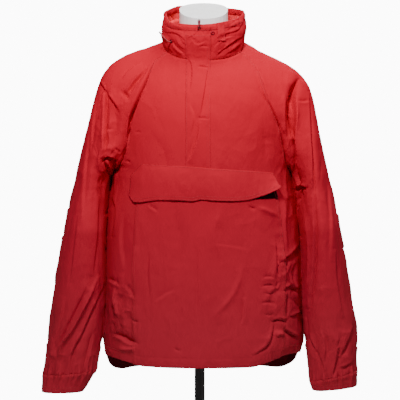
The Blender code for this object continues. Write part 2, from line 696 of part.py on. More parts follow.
def wall_mesh(name, outer, inner):
    """A closed wall between two grids of points."""
    high, wide = outer.shape[0], outer.shape[1]
    bm = bmesh.new()
    skins = []
    for points in (outer, inner):
        skins.append([[bm.verts.new(points[r, c]) for c in range(wide)] for r in range(high)])
    out, ins = skins
    for r in range(high - 1):
        for c in range(wide - 1):
            a, b, d, e = (r, c), (r, c + 1), (r + 1, c + 1), (r + 1, c)
            bm.faces.new([out[p][q] for p, q in (a, b, d)])
            bm.faces.new([out[p][q] for p, q in (a, d, e)])
            bm.faces.new([ins[p][q] for p, q in (a, d, b)])
            bm.faces.new([ins[p][q] for p, q in (a, e, d)])
    rims = []
    for c in range(wide - 1):
        rims.append((out[0][c], ins[0][c], ins[0][c + 1], out[0][c + 1]))
        rims.append((out[-1][c + 1], ins[-1][c + 1], ins[-1][c], out[-1][c]))
    for r in range(high - 1):
        rims.append((out[r + 1][0], ins[r + 1][0], ins[r][0], out[r][0]))
        rims.append((out[r][-1], ins[r][-1], ins[r + 1][-1], out[r + 1][-1]))
    for a, b, c, d in rims:
        # Both pieces at a seam split their edge faces the same way, so the edges stay apart
        if a.co.dot(RIM_ORDER) < d.co.dot(RIM_ORDER):
            bm.faces.new((a, b, c))
            bm.faces.new((a, c, d))
        else:
            bm.faces.new((b, c, d))
            bm.faces.new((b, d, a))
    mesh = bpy.data.meshes.new(name)
    bm.to_mesh(mesh)
    bm.free()
    return mesh


def add_object(name, mesh, colour, rough, smooth=True):
    """An object in the garment's collection, with its own material."""
    obj = bpy.data.objects.new(name, mesh)
    COLLECTION.objects.link(obj)
    material = bpy.data.materials.new(name)
    material.use_nodes = True
    shader = material.node_tree.nodes["Principled BSDF"]
    shader.inputs["Base Color"].default_value = COLOURS[colour]
    shader.inputs["Roughness"].default_value = rough
    mesh.materials.clear()
    mesh.materials.append(material)
    if smooth:
        mesh.shade_smooth()
        mesh.set_sharp_from_angle(angle=math.radians(45))
    return obj


def add_panel(name, rows, normals, wall):
    """A cloth piece, its wall thickened inwards."""
    return add_object(name, wall_mesh(name, rows, rows - normals * wall), "shell", 0.6)


def add_patch(name, rows, normals, lift, wall=PATCH_WALL):
    """A piece sewn on a panel: the panel's own points, moved out."""
    lift = np.asarray(lift)
    if lift.ndim:
        lift = lift[..., None]
    inner = rows + normals * lift
    return add_object(name, wall_mesh(name, inner + normals * wall, inner), "shell", 0.6)


def add_turned(name, profile, colour, rough, sides):
    """A turned solid from a profile that runs down its outer side."""
    mesh = bpy.data.meshes.new(name)
    points = [(radius, 0.0, z) for radius, z in profile]
    edges = [(n, n + 1) for n in range(len(points) - 1)]
    mesh.from_pydata(points, edges, [])
    obj = add_object(name, mesh, colour, rough, smooth=False)
    screw = obj.modifiers.new("Turn", "SCREW")
    screw.steps = sides
    screw.render_steps = sides
    screw.use_merge_vertices = True
    screw.merge_threshold = 0.00001
    return obj


# ---------------------------------------------------------------- pieces
def make_garment():
    """All cloth pieces. Returns the collar's grid, which carries the zip and the cord."""
    front = body_panel(-1)
    back = body_panel(1)
    left = sleeve_panel(front, back, 0, CAP_LEFT, TUBE_LEFT, -1.0)
    right = sleeve_panel(front, back, -1, CAP_RIGHT, TUBE_RIGHT, 1.0)
    grids = {
        "front_panel": front,
        "back_panel": back[:, ::-1],
        "sleeve_left": left[:, ::-1],
        "sleeve_right": right,
        "cuff_left": cuff_panel(left, CUFF_LEFT, SLEEVE_Y)[:, ::-1],
        "cuff_right": cuff_panel(right, CUFF_RIGHT, SLEEVE_Y),
        "collar": collar_panel(front, back, left, right),
    }
    tubes = ("sleeve_left", "sleeve_right", "cuff_left", "cuff_right", "collar")
    normals = {name: grid_normals(rows, name in tubes) for name, rows in grids.items()}
    share_normals(grids, normals)
    for name, rows in grids.items():
        moved = rows.copy()
        for row in range(rows.shape[0]):
            for column in range(rows.shape[1]):
                out = normals[name][row, column]
                step = elevation(rows[row, column])
                facing = min(abs(out[1]) * FACING_GAIN, 1.0)
                folds = FRONT_FOLDS if out[1] < 0 else BACK_FOLDS
                moved[row, column] += out * facing * fold_height(step[0], step[1], folds)
        grids[name] = moved
    normals = {name: grid_normals(rows, name in tubes) for name, rows in grids.items()}
    share_normals(grids, normals)
    part_seams(grids)

    for name, rows in grids.items():
        wall = COLLAR_WALL if name == "collar" else WALL
        add_panel(name, rows, normals[name], wall)
    return grids, normals


def make_patches(grids, normals):
    """Storm flap, pouch, pocket flap and the collar's casing and strap."""
    front = grids["front_panel"]
    out = normals["front_panel"]
    first = COLUMNS["side_left"]
    placket = first + COLUMNS["pouch_left"]
    last = placket + COLUMNS["placket"] + COLUMNS["pouch_right"]

    pouch = (slice(0, POUCH_TOP_ROW + 1), slice(first, last + 1))
    add_patch("pouch_pocket", front[pouch], out[pouch], LIFT)

    flap = (slice(FLAP_BOTTOM_ROW, FLAP_TOP_ROW + 1), slice(first - 1, last + 2))
    over = LIFT + PATCH_WALL + LIFT
    high, wide = front[flap].shape[:2]
    lift = np.empty((high, wide))
    for r in range(high):
        fall = (high - 1 - r) / (high - 1)
        for c in range(wide):
            corner = max(0.0, (c - (wide - 1)) / FLAP_CORNER_COLUMNS + 1.0)
            lift[r, c] = over + fall * (FLAP_FALL + FLAP_CORNER * corner)
    add_patch("pocket_flap", front[flap], out[flap], lift)

    # The storm flap runs on over the collar, across the zip
    collar = grids["collar"]
    collar_out = normals["collar"]
    columns = slice(placket, placket + COLUMNS["placket"] + 1)
    on_panel = (slice(FLAP_TOP_ROW, None), columns)
    on_collar = slice(1, STORM_FLAP_COLLAR_ROWS + 1)
    half = COLUMNS["placket"] // 2
    points = np.concatenate([front[on_panel], across_zip(collar, on_collar, half)])
    ways = np.concatenate([out[on_panel], across_zip(collar_out, on_collar, half)])
    add_patch("storm_flap", points, ways, LIFT)

    casing = slice(COLLAR_ROWS - 1, COLLAR_ROWS + 1)
    add_patch("drawcord_casing", collar[casing], collar_out[casing], LIFT)
    strap = (slice(STRAP_ROWS[0], STRAP_ROWS[1] + 1), slice(STRAP_COLUMNS[0], STRAP_COLUMNS[1] + 1))
    add_patch("collar_strap", collar[strap], collar_out[strap], over)


def across_zip(values, rows, half):
    """The collar's points on both sides of its opening, as one strip."""
    left = values[rows, -1 - half:-1]
    middle = (values[rows, -1:] + values[rows, :1]) / 2.0
    right = values[rows, 1:half + 1]
    return np.concatenate([left, middle, right], axis=1)


def stand_on(point, out, up=Vector((0.0, 0.0, 1.0))):
    """A matrix at a point of the cloth: its Z points out, its Y up."""
    away = Vector(out).normalized()
    across = up.cross(away).normalized()
    rise = away.cross(across)
    turn = Matrix((across, rise, away)).transposed().to_4x4()
    return Matrix.Translation(Vector(point)) @ turn


def collar_facet(grids, turn, height):
    """The middle of the collar facet nearest to a turn and a height, and its normal."""
    collar = grids["collar"]
    row = min(int(height * COLLAR_ROWS), COLLAR_ROWS - 1)
    best = None
    for column in range(collar.shape[1] - 1):
        quad = collar[row:row + 2, column:column + 2].reshape(4, 3)
        middle = quad.mean(axis=0)
        deep = NECK_FRONT if middle[1] < 0 else NECK_BACK
        angle = math.degrees(math.atan2(-middle[1] / deep, (middle[0] - NECK_X) / NECK_HALF_WIDTH))
        if best is None or abs(angle - turn) < best[0]:
            best = (abs(angle - turn), middle, np.cross(quad[1] - quad[2], quad[3] - quad[0]))
    return best[1], best[2] / np.linalg.norm(best[2])


def make_eyelets(grids):
    """Two flat rings on the collar: one lets the cord out, the other shows near the zip."""
    profile = [
        (EYELET_INNER, EYELET_THICK),
        (EYELET_OUTER, EYELET_THICK),
        (EYELET_OUTER, 0.0),
        (EYELET_INNER, 0.0),
        (EYELET_INNER, EYELET_THICK),
    ]
    for name, turn, height in (
        ("eyelet_cord", CORD_TURN, CORD_HEIGHT),
        ("eyelet_front", EYELET_TURN, EYELET_HEIGHT),
    ):
        point, out = collar_facet(grids, turn, height)
        ring = add_turned(name, profile, "metal", 0.35, 14)
        ring.matrix_world = stand_on(point + out * LIFT, out)


def smooth_route(points, count):
    """Points read off a smooth curve through a route's own points."""
    keys = [dict(t=n, x=p[0], y=p[1], z=p[2]) for n, p in enumerate(points)]
    found = []
    for n in range(count + 1):
        place = read_table(keys, "t", (len(points) - 1) * n / count)
        found.append(Vector((place["x"], place["y"], place["z"])))
    return found


def make_drawcord(grids):
    """The cord's free end, out of its eyelet, and the hard tip on it."""
    point, out = collar_facet(grids, CORD_TURN, CORD_HEIGHT)
    start = Vector(point + out * 2 * LIFT)
    away = Vector(out) * CORD_STRAIGHT
    marks = [Vector(), away] + [Vector(step) for step in CORD_ROUTE]
    route = [start + step for step in smooth_route(marks, CORD_POINTS)]
    curve = bpy.data.curves.new("drawcord_end", "CURVE")
    curve.dimensions = "3D"
    curve.bevel_depth = CORD_RADIUS
    curve.bevel_resolution = 2
    curve.use_fill_caps = True
    spline = curve.splines.new("POLY")
    spline.points.add(len(route) - 1)
    for place, step in zip(spline.points, route):
        place.co = (*step, 1.0)
    cord = bpy.data.objects.new("drawcord_end", curve)
    COLLECTION.objects.link(cord)
    material = bpy.data.materials.new("drawcord_end")
    material.use_nodes = True
    material.node_tree.nodes["Principled BSDF"].inputs["Base Color"].default_value = COLOURS["cord"]
    curve.materials.append(material)

    along = (route[-1] - route[-2]).normalized()
    tip = add_turned(
        "drawcord_tip",
        [(0.0, TIP_LENGTH), (TIP_RADIUS, TIP_LENGTH), (TIP_RADIUS, 0.0), (0.0, 0.0)],
        "cord_tip", 0.4, 12)
    tip.matrix_world = stand_on(route[-1] + along * SEAM_GAP, along)


def outline_object(name, outline, thick, colour):
    """A flat outline given a thickness: a filled 2D curve."""
    curve = bpy.data.curves.new(name, "CURVE")
    curve.dimensions = "2D"
    curve.fill_mode = "BOTH"
    curve.extrude = thick / 2.0
    spline = curve.splines.new("POLY")
    spline.points.add(len(outline) - 1)
    for place, (x, y) in zip(spline.points, outline):
        place.co = (x, y, 0.0, 1.0)
    spline.use_cyclic_u = True
    obj = bpy.data.objects.new(name, curve)
    COLLECTION.objects.link(obj)
    material = bpy.data.materials.new(name)
    material.use_nodes = True
    shader = material.node_tree.nodes["Principled BSDF"]
    shader.inputs["Base Color"].default_value = COLOURS[colour]
    shader.inputs["Roughness"].default_value = 0.4
    curve.materials.append(material)
    return obj


def make_zip(grids):
    """The slider at the top of the zip, and the pull tab on its hinge line."""
    collar = grids["collar"]
    top = (collar[-1, 0] + collar[-1, -1]) / 2.0
    out = Vector((0.0, -1.0, 0.0))
    face = Vector(top) + out * SLIDER_OFF
    half = SLIDER_WIDE / 2.0
    inside = half - SLIDER_LUG
    channel = [
        (-half, 0.0), (half, 0.0), (half, -SLIDER_PLATE - SLIDER_LUG_REACH),
        (inside, -SLIDER_PLATE - SLIDER_LUG_REACH), (inside, -SLIDER_PLATE),
        (-inside, -SLIDER_PLATE), (-inside, -SLIDER_PLATE - SLIDER_LUG_REACH),
        (-half, -SLIDER_PLATE - SLIDER_LUG_REACH),
    ]
    slider = outline_object("zip_slider", channel, SLIDER_TALL, "zip")
    slider.location = face + Vector((0.0, 0.0, -SLIDER_TALL * SLIDER_BELOW))

    hinge = face + out * (SLIDER_PLATE + PULL_KNUCKLE + 2 * SEAM_GAP)
    hinge.z = slider.location.z + SLIDER_TALL / 2.0 - PULL_KNUCKLE
    neck = PULL_NECK_WIDE / 2.0
    wide = PULL_WIDE / 2.0
    tab = [(-neck, -PULL_KNUCKLE), (neck, -PULL_KNUCKLE), (neck, PULL_FLARE)]
    tab += [(wide, PULL_FLARE + wide - neck), (wide, PULL_LENGTH - wide)]
    for n in range(1, 6):
        angle = math.pi * n / 6
        tab.append((wide * math.cos(angle), PULL_LENGTH - wide + wide * math.sin(angle)))
    tab += [(-wide, PULL_LENGTH - wide), (-wide, PULL_FLARE + wide - neck), (-neck, PULL_FLARE)]
    pull = outline_object("zip_pull", tab, PULL_THICK, "zip")
    pull.location = hinge
    pull.rotation_euler = (math.radians(90.0), 0.0, 0.0)


def make_form():
    """The dress form: a closed loft of rounded sections with a flat, leaning neck top."""
    bm = bmesh.new()
    loops = []
    for level, section in enumerate(FORM):
        loop = []
        for n in range(FORM_SIDES):
            angle = 2.0 * math.pi * n / FORM_SIDES
            c, s = math.cos(angle), math.sin(angle)
            power = 2.0 / FORM_POWER
            x = section["cx"] + section["half"] * math.copysign(abs(c) ** power, c)
            deep = section["front"] if s < 0 else section["back"]
            y = deep * math.copysign(abs(s) ** power, s)
            lean = max(0.0, (section["z"] - FORM[-4]["z"]) / (FORM[-1]["z"] - FORM[-4]["z"]))
            z = section["z"] + (y - NECK_TILT_Y) * math.tan(NECK_TILT) * lean
            loop.append(bm.verts.new((x, y, z)))
        loops.append(loop)
    for low, high in zip(loops, loops[1:]):
        for n in range(FORM_SIDES):
            m = (n + 1) % FORM_SIDES
            bm.faces.new((low[n], low[m], high[m], high[n]))
    bm.faces.new(loops[0][::-1])
    bm.faces.new(loops[-1])
    mesh = bpy.data.meshes.new("form_torso")
    bm.to_mesh(mesh)
    bm.free()
    add_object("form_torso", mesh, "form", 0.55)


def make_stand():
    """The pole, and the round base that it stands in."""
    low = BASE_HEIGHT + SEAM_GAP
    high = FORM[0]["z"] - SEAM_GAP
    pole = add_turned(
        "pole", [(0.0, high), (POLE_RADIUS, high), (POLE_RADIUS, low), (0.0, low)],
        "stand", 0.35, 20)
    pole.location = (POLE_X, 0.0, 0.0)
    edge = BASE_RADIUS - BASE_EDGE
    profile = [
        (0.0, BASE_HEIGHT),
        (edge, BASE_HEIGHT - BASE_EDGE),
        (BASE_RADIUS, BASE_EDGE),
        (edge, 0.0),
        (0.0, 0.0),
    ]
    base = add_turned("base", profile, "stand", 0.4, 40)
    base.location = (POLE_X, 0.0, 0.0)


def clear_scene():
    """Leaves no object of the start-up scene."""
    for obj in list(bpy.data.objects):
        bpy.data.objects.remove(obj, do_unlink=True)


clear_scene()
COLLECTION = bpy.data.collections.new("anorak_on_dress_form")
bpy.context.scene.collection.children.link(COLLECTION)
GRIDS, NORMALS = make_garment()
make_patches(GRIDS, NORMALS)
make_eyelets(GRIDS)
make_drawcord(GRIDS)
make_zip(GRIDS)
make_form()
make_stand()
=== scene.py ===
# %% [markdown]
# # A red pullover anorak on a dress form
# A light nylon anorak is a handful of flat cloth pieces sewn into tubes: a front, a back, two
# raglan sleeves that run up to the neck, cuffs and a stand collar. A pouch pocket, its flap and
# a storm flap are sewn on top. This script dresses a packed, plain model of it: every piece of
# cloth is rebuilt as a fine shell with its creases, and the hard parts get their real finish.

import math

import bmesh
import bpy
import numpy as np
from mathutils import Matrix, Vector


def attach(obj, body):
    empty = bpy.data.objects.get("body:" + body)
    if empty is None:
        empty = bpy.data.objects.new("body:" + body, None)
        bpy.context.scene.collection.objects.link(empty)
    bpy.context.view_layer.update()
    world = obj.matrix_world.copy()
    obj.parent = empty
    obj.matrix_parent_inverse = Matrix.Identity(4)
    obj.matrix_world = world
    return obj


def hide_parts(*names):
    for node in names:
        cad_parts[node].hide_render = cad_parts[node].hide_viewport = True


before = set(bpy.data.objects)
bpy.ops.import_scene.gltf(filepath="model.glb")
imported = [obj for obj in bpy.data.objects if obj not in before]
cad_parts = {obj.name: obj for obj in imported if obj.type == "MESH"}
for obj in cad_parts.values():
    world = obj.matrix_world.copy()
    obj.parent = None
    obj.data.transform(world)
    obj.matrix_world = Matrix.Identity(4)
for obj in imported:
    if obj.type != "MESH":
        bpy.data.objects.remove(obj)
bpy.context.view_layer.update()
print("packed nodes:", len(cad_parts))

# %% [markdown]
# ## The camera
# Catalogues show clothes straight on and from far away: a long lens keeps the sleeves and the body
# at one scale. Its length follows from the picture's height at that distance.

# %% Camera
VIEW_DISTANCE = 3.2
VIEW_RISE = math.radians(4.5)
VIEW_CENTRE = Vector((-0.0023, 0.0, 0.624))
VIEW_HEIGHT = 0.92                # metres of the garment that the picture takes in
SENSOR = 36.0


def add_object(name, data):
    """A new object at the origin."""
    made = bpy.data.objects.new(name, data)
    bpy.context.scene.collection.objects.link(made)
    return made


camera_data = bpy.data.cameras.new("camera")
camera_data.sensor_width = SENSOR
camera_data.lens = SENSOR * VIEW_DISTANCE / VIEW_HEIGHT
camera = add_object("camera", camera_data)
toward = Vector((0.0, -math.cos(VIEW_RISE), math.sin(VIEW_RISE)))
camera.location = VIEW_CENTRE + toward * VIEW_DISTANCE
camera.rotation_euler = toward.to_track_quat("Z", "Y").to_euler()
bpy.context.scene.camera = camera
print("lens", round(camera_data.lens, 1), "mm")

# %% [markdown]
# ## Floor, backdrop and light
# Cloth shows its creases when one large soft light stands high and in front, so that each hollow
# is a little darker than the ridge above it. Two weaker ones fill the sides, one from above lights
# the shoulders and the neck, and one behind draws the edges. The backdrop is a wall of light far
# behind, which turns the background white and hardly reaches the cloth's front. The floor is a
# pale round plinth that ends below the picture.

# %% Floor, backdrop and light
FLOOR_RADIUS = 0.68
FLOOR_SIDES = 128
BACKDROP_SIZE = 5.0
BACKDROP_PLACE = (0.0, 9.0, 0.0)
BACKDROP_LEVEL = 11.0
WORLD_LEVEL = 0.13

bpy.ops.mesh.primitive_circle_add(vertices=FLOOR_SIDES, radius=FLOOR_RADIUS, fill_type="NGON")
floor = bpy.context.object
floor.name = "floor"

bpy.ops.mesh.primitive_plane_add(size=BACKDROP_SIZE, location=BACKDROP_PLACE,
                                 rotation=(math.radians(90.0), 0.0, 0.0))
backdrop = bpy.context.object
backdrop.name = "backdrop"

LIGHTS = [
    dict(name="key", place=(-0.26, -1.36, 1.98), size=0.30, power=38.5),
    dict(name="fill_left", place=(-2.6, -1.2, 2.0), size=1.6, power=3.0),
    dict(name="fill_right", place=(1.5, -1.5, 2.1), size=0.6, power=11.0),
    dict(name="top", place=(0.62, -0.15, 2.50), size=0.6, power=20.0),
    dict(name="back", place=(0.6, 2.4, 2.6), size=1.6, power=38.0),
]
AIM = Vector((0.0, 0.0, 0.82))
for row in LIGHTS:
    light = bpy.data.lights.new(row["name"], "AREA")
    light.energy = row["power"]
    light.size = row["size"]
    lamp = add_object(row["name"], light)
    lamp.location = row["place"]
    lamp.rotation_euler = (lamp.location - AIM).to_track_quat("Z", "Y").to_euler()

world = bpy.data.worlds.new("light_tent")
world.use_nodes = True
world.node_tree.nodes["Background"].inputs["Strength"].default_value = WORLD_LEVEL
world.node_tree.nodes["Background"].inputs["Color"].default_value = (1.0, 1.0, 1.0, 1.0)
bpy.context.scene.world = world
print("lights:", len(LIGHTS))

# %% [markdown]
# ## Building a material from nodes
# Every finish is a Principled shader with a few nodes in front of it. One helper adds a node, one
# joins nodes, and one turns a hex colour into the linear numbers that a shader works with.

# %% Helpers for materials
MM = 0.001


def hex_colour(code):
    """An sRGB hex colour as linear RGBA."""
    channels = [int(code[n:n + 2], 16) / 255.0 for n in (1, 3, 5)]
    linear = [c / 12.92 if c <= 0.04045 else ((c + 0.055) / 1.055) ** 2.4 for c in channels]
    return (*linear, 1.0)


def feed(tree, made, links):
    """Joins a node's inputs to sockets, or to the first output of other nodes."""
    for name, source in links.items():
        tree.links.new(getattr(source, "outputs", [source])[0], made.inputs[name])


def node(tree, kind, values=None, links=None, **settings):
    """Adds a node: its settings, its unlinked inputs' values, and what feeds its inputs."""
    made = tree.nodes.new(kind if "Node" in kind else "ShaderNode" + kind)
    for name, value in settings.items():
        setattr(made, name, value)
    for name, value in (values or {}).items():
        made.inputs[name].default_value = value
    feed(tree, made, links or {})
    return made


def new_material(name, **sockets):
    """A material with a Principled shader, its own sockets set."""
    made = bpy.data.materials.new(name)
    made.use_nodes = True
    shader = made.node_tree.nodes["Principled BSDF"]
    for socket, value in sockets.items():
        shader.inputs[socket.replace("_", " ")].default_value = value
    return made, made.node_tree, shader


def clouds(tree, spot, size_mm, detail, **more):
    """Noise with lumps of a real size."""
    return node(tree, "TexNoise", {"Scale": 1.0 / (size_mm * MM), "Detail": detail, **more},
                {"Vector": spot})


def ramp_node(tree, factor, stops):
    """A colour ramp with its stops as (place, hex colour)."""
    made = node(tree, "ValToRGB", links={"Fac": factor})
    for element, (place, code) in zip(made.color_ramp.elements, stops):
        element.position = place
        element.color = hex_colour(code)
    return made


# %% [markdown]
# ## The shell cloth: nylon taffeta
# An anorak's shell is a plain, tight weave of fine nylon, calendered, so it has a soft, wide sheen
# along each ridge. Its threads are about 0.15 mm apart, far too fine to see, so the weave is drawn
# at 0.9 mm, the coarsest that still reads as even cloth. Washing leaves a crackle of small creases.
# Shade is painted into the colour: a touch darker in the hollows of small puckers, and darker and
# greyer towards the hem and the cuffs, where less light falls. The weave follows the piece's UV
# map, in metres along and across the grain, and the crackle is as strong as the piece's own
# attribute
# "crumple" says at each place.

# %% Shell cloth
WEAVE_MM = 0.9
CRACKLE_MM = 30.0
PUCKER_MM = 9.0
WARP_MM = 70.0
DYE_CLOUD_MM = 160.0
LOW_SHADE_FROM = 0.86                  # heights over which painted shade darkens and greys the cloth downwards
LOW_SHADE_TO = 0.34


def taffeta(name, light, deep, painted_low_shade=None, rough=0.68):
    """Nylon taffeta: woven, calendered, piece-dyed, with fine washed-in creases."""
    made, tree, shader = new_material(
        name, Roughness=rough, IOR=1.53, Sheen_Weight=0.02, Sheen_Roughness=0.42,
        Sheen_Tint=hex_colour("#FF6A66"), Specular_IOR_Level=0.05,
        Specular_Tint=hex_colour("#FF8A86"))
    spot = node(tree, "TexCoord").outputs["Object"]
    grain = node(tree, "UVMap", uv_map="grain")

    # Small creases: warped, stretched cells that meet in sharp ridges, as in crumpled paper
    warp = clouds(tree, spot, WARP_MM, 2.0)
    bend = node(tree, "VectorMath", {1: (0.5, 0.5, 0.5)}, {0: warp.outputs["Color"]},
                operation="SUBTRACT")
    sway = node(tree, "VectorMath", {"Scale": 0.030}, {0: bend}, operation="SCALE")
    moved = node(tree, "VectorMath", None, {0: spot, 1: sway}, operation="ADD")
    drawn = node(tree, "Mapping", {"Scale": (1.0, 1.0, 0.45)}, {"Vector": moved})
    crackle = node(tree, "TexVoronoi", {"Scale": 1.0 / (CRACKLE_MM * MM), "Detail": 2.0,
                                        "Roughness": 0.45, "Lacunarity": 2.3},
                   {"Vector": drawn}, feature="DISTANCE_TO_EDGE")
    pucker = clouds(tree, drawn, PUCKER_MM, 2.0, Roughness=0.5)

    # The weave: two sets of ribs, one along each UV axis
    ribs = [node(tree, "TexWave", {"Scale": 1.0 / (WEAVE_MM * MM) / 20.0, "Distortion": 0.6,
                                   "Detail": 1.0, "Detail Scale": 2.0},
                 {"Vector": grain}, bands_direction=way).outputs["Fac"] for way in ("X", "Y")]
    weave = node(tree, "Math", None, {0: ribs[0], 1: ribs[1]}, operation="MULTIPLY")

    # Colour: cloudy on a hand's scale, and painted shade: a touch darker in the hollows of the
    # puckers
    cloud = clouds(tree, spot, DYE_CLOUD_MM, 3.0)
    pucker_shade = node(tree, "Math", {1: 0.35, 2: 0.30}, {0: pucker}, operation="MULTIPLY_ADD")
    level = node(tree, "Math", None, {0: cloud, 1: pucker_shade}, operation="ADD")
    colour = ramp_node(tree, level, [(0.55, deep), (1.25, light)])
    if painted_low_shade:
        # Painted shade: the colour turns a little darker and greyer towards the hem and the cuffs,
        # lower down, where less light falls
        height = node(tree, "SeparateXYZ", None, {0: spot}).outputs["Z"]
        fade = node(tree, "MapRange", {"From Min": LOW_SHADE_FROM, "From Max": LOW_SHADE_TO},
                    {"Value": height})
        mixed = node(tree, "Mix", {"B": hex_colour(painted_low_shade)}, {"Factor": fade, "A": colour},
                     data_type="RGBA")
        colour = mixed.outputs["Result"]
    feed(tree, shader, {"Base Color": colour})

    # Where the cloth has been crumpled most, its small creases stand highest
    crumpled = node(tree, "Attribute", attribute_name="crumple").outputs["Fac"]
    creased = node(tree, "Math", None, {0: crackle, 1: crumpled}, operation="MULTIPLY")
    puckered = node(tree, "Math", None, {0: pucker, 1: crumpled}, operation="MULTIPLY")
    normal = {}
    for strength, deep_mm, relief in ((0.10, 0.25, weave), (0.7, 1.8, puckered),
                                      (1.0, 12.0, creased)):
        bump = node(tree, "Bump", {"Strength": strength, "Distance": deep_mm * MM},
                    {"Height": relief, **normal})
        normal = {"Normal": bump}
    feed(tree, shader, normal)
    return made


# Outside, with painted shade lower down; edge bands; the inside, painted dark as shade; the
# collar's inside, painted bright as light; and a near-black copy painted as shadow in the pouch's
# mouth
SHELL = taffeta("nylon_taffeta_red", "#C0162B", "#AA1123", painted_low_shade="#AC2636")
SHELL_BAND = taffeta("nylon_taffeta_red_bands", "#BE182B", "#A61323", rough=0.62)
SHELL_INSIDE_SHADE = taffeta("nylon_taffeta_inside_painted_shade", "#5E0C18", "#4A0912", rough=0.6)
SHELL_INSIDE_LIT = taffeta("nylon_taffeta_inside_painted_light", "#F03C48", "#DE303C", rough=0.62)
POUCH_MOUTH_SHADOW = taffeta("nylon_pouch_mouth_painted_shadow", "#2C060C", "#1E0408", rough=0.7)
print("cloth:", ", ".join(material.name for material in bpy.data.materials))

# %% [markdown]
# ## The floor and the backdrop
# The floor is painted board, pale and dull. The backdrop is a sheet of lit diffuser.

# %% Stage finishes
PLINTH, tree, shader = new_material("painted_board_pale", Roughness=0.75)
dust = node(tree, "TexNoise", {"Scale": 6.0, "Detail": 4.0},
            {"Vector": node(tree, "TexCoord").outputs["Object"]})
feed(tree, shader, {"Base Color": ramp_node(tree, dust, [(0.2, "#C4C3C1"), (0.8, "#D2D1CF")])})
floor.data.materials.append(PLINTH)

DIFFUSER = new_material("lit_diffuser", Emission_Strength=BACKDROP_LEVEL,
                        Emission_Color=(1.0, 1.0, 1.0, 1.0))[0]
backdrop.data.materials.append(DIFFUSER)
print("stage:", floor.name, backdrop.name)

# %% [markdown]
# ## The cut of the garment
# The tables hold the sections of the body, the lines of the raglan seams, the outermost line of
# each sleeve cap and the edges of the sleeve tubes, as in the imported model. From them this script
# computes the same surface, and reads it off on a grid that is fine enough for creases.
#
# Tables are text, a line for each row. In a plain table the first line names the columns. In a
# table of creases each line gives the places that a crease runs through, then its half-width, its
# depth and the side of its lip, if it has one. A line without numbers is a heading.

# %% Reading tables
def table(text):
    """The rows of a plain table, as dicts: numbers, and words or lists as text."""
    names, *lines = [line.split() for line in text.strip().splitlines()]
    return [{name: float(word) if word.lstrip("-").replace(".", "").isdigit() else word
             for name, word in zip(names, line)} for line in lines]


def creases(text):
    """The rows of a table of creases, as dicts."""
    rows = []
    for line in text.splitlines():
        route, _, rest = line.partition(":")
        if rest:
            wide, deep, *lip = rest.split()
            places = [[float(n) for n in place.split(",")] for place in route.split()]
            rows.append(dict(route=places, wide=float(wide), deep=float(deep), lip=lip))
    return rows


# %% Sizes and tables of the cloth
HEM_SIDE_Z = 0.266
HEM_CURVE_COLUMNS = 2.0
HEM_FADE = 1.6            # how fast the hem's curve dies out in the rows above it
FRONT_HEM_DROP = 0.004
BACK_HEM_DROP = 0.052
UNDERARM_Z = 0.685
ROWS_LOW = 16            # hem to underarm
ROWS_UP = 12             # underarm to neckline
ROWS_ALL = ROWS_LOW + ROWS_UP
POUCH_TOP_ROW = 16
FLAP_TOP_ROW = 17
STRAP_ROWS = (3, 6)       # of the collar
STRAP_COLUMNS = (4, 6)

NECK_X = 0.006
NECK_HALF_WIDTH = 0.091
NECK_FRONT = 0.078
NECK_BACK = 0.062
NECK_POWER = 0.92         # a little squarer than an ellipse
NECK_SIDE_Z = 0.985
NECK_FRONT_DROP = 0.043
NECK_FRONT_POWER = 0.8
NECK_BACK_DROP = 0.003
NECK_EASE = 3.2           # how fast the neckline's curve dies out in the rows below it
CAP_EASE = 4.0
FRONT_CORNER = math.radians(24)   # where the front raglan seam meets the neckline
BACK_CORNER = math.radians(-42)

PLACKET_LEFT = -0.034
PLACKET_RIGHT = 0.021
PLACKET_MID = -0.005
POUCH_CLEAR = 0.013               # from the placket, at the least
POUCH_LEFT_SHARE = 0.69           # of the panel's half-width
POUCH_RIGHT_SHARE = 0.80

# Columns of the front panel between its fixed upright lines
COLUMNS = {"side_left": 4, "pouch_left": 5, "placket": 4, "pouch_right": 7, "side_right": 4}
BACK_COLUMNS = 14
SLEEVE_COLUMNS = 16
COLLAR_ROWS = 6

# Front elevation: creases are placed on a drawing of the front, in steps of this size
STEP = 0.0023
STEP_X0 = 201.0
STEP_Z0 = 1.0841

# Body sections: height, centre, half-width, front and back depth
BODY = table("""
    z    cx  half front  back
 0.22 0.002 0.221  0.15 0.146
0.262 0.002 0.223  0.15 0.146
  0.3 0.006 0.228 0.149 0.145
  0.4 0.006 0.228 0.146  0.14
  0.5 0.006 0.226 0.143 0.134
  0.6 0.004 0.217  0.14  0.13
0.685 0.002 0.203 0.137  0.13
 0.76 0.002 0.203 0.133 0.128
 0.82 0.003 0.208 0.125 0.124
 0.87 0.004  0.21 0.112 0.116
 0.91 0.005   0.2 0.096 0.104
 0.94 0.006 0.165 0.082 0.088
0.965 0.006 0.135 0.074  0.07
 0.99 0.006   0.1  0.07 0.062
""")
FINE = 48                         # points of a curve before it is evenly divided
CAP_SPREAD = 0.25                 # how far the underarm rows swing outwards
SOFTEN_TIMES = 4
BODY_POWER = 2.25                 # 2 is an ellipse, more is squarer
BODY_Y = 0.012                    # the side seams lie a little to the back
SLEEVE_Y = -0.028                 # the sleeves hang a little to the front
SLEEVE_Y_SHARE = 0.26             # reached this far down the sleeve

# Raglan seams: height, and how far out the front and back seams stand on each side
RAGLAN = table("""
    z front_left front_right back_left back_right
0.685     -0.201       0.205    -0.201      0.205
  0.7     -0.188       0.197     -0.19      0.196
 0.72     -0.176        0.19    -0.182      0.188
 0.76     -0.166       0.183    -0.172      0.179
  0.8      -0.16       0.174     -0.16      0.168
 0.84      -0.15       0.157    -0.144      0.153
 0.88     -0.134       0.144    -0.124      0.134
 0.92     -0.118       0.129    -0.101      0.112
 0.95       -0.1       0.108     -0.08      0.091
0.966     -0.079        0.09    -0.062      0.073
""")

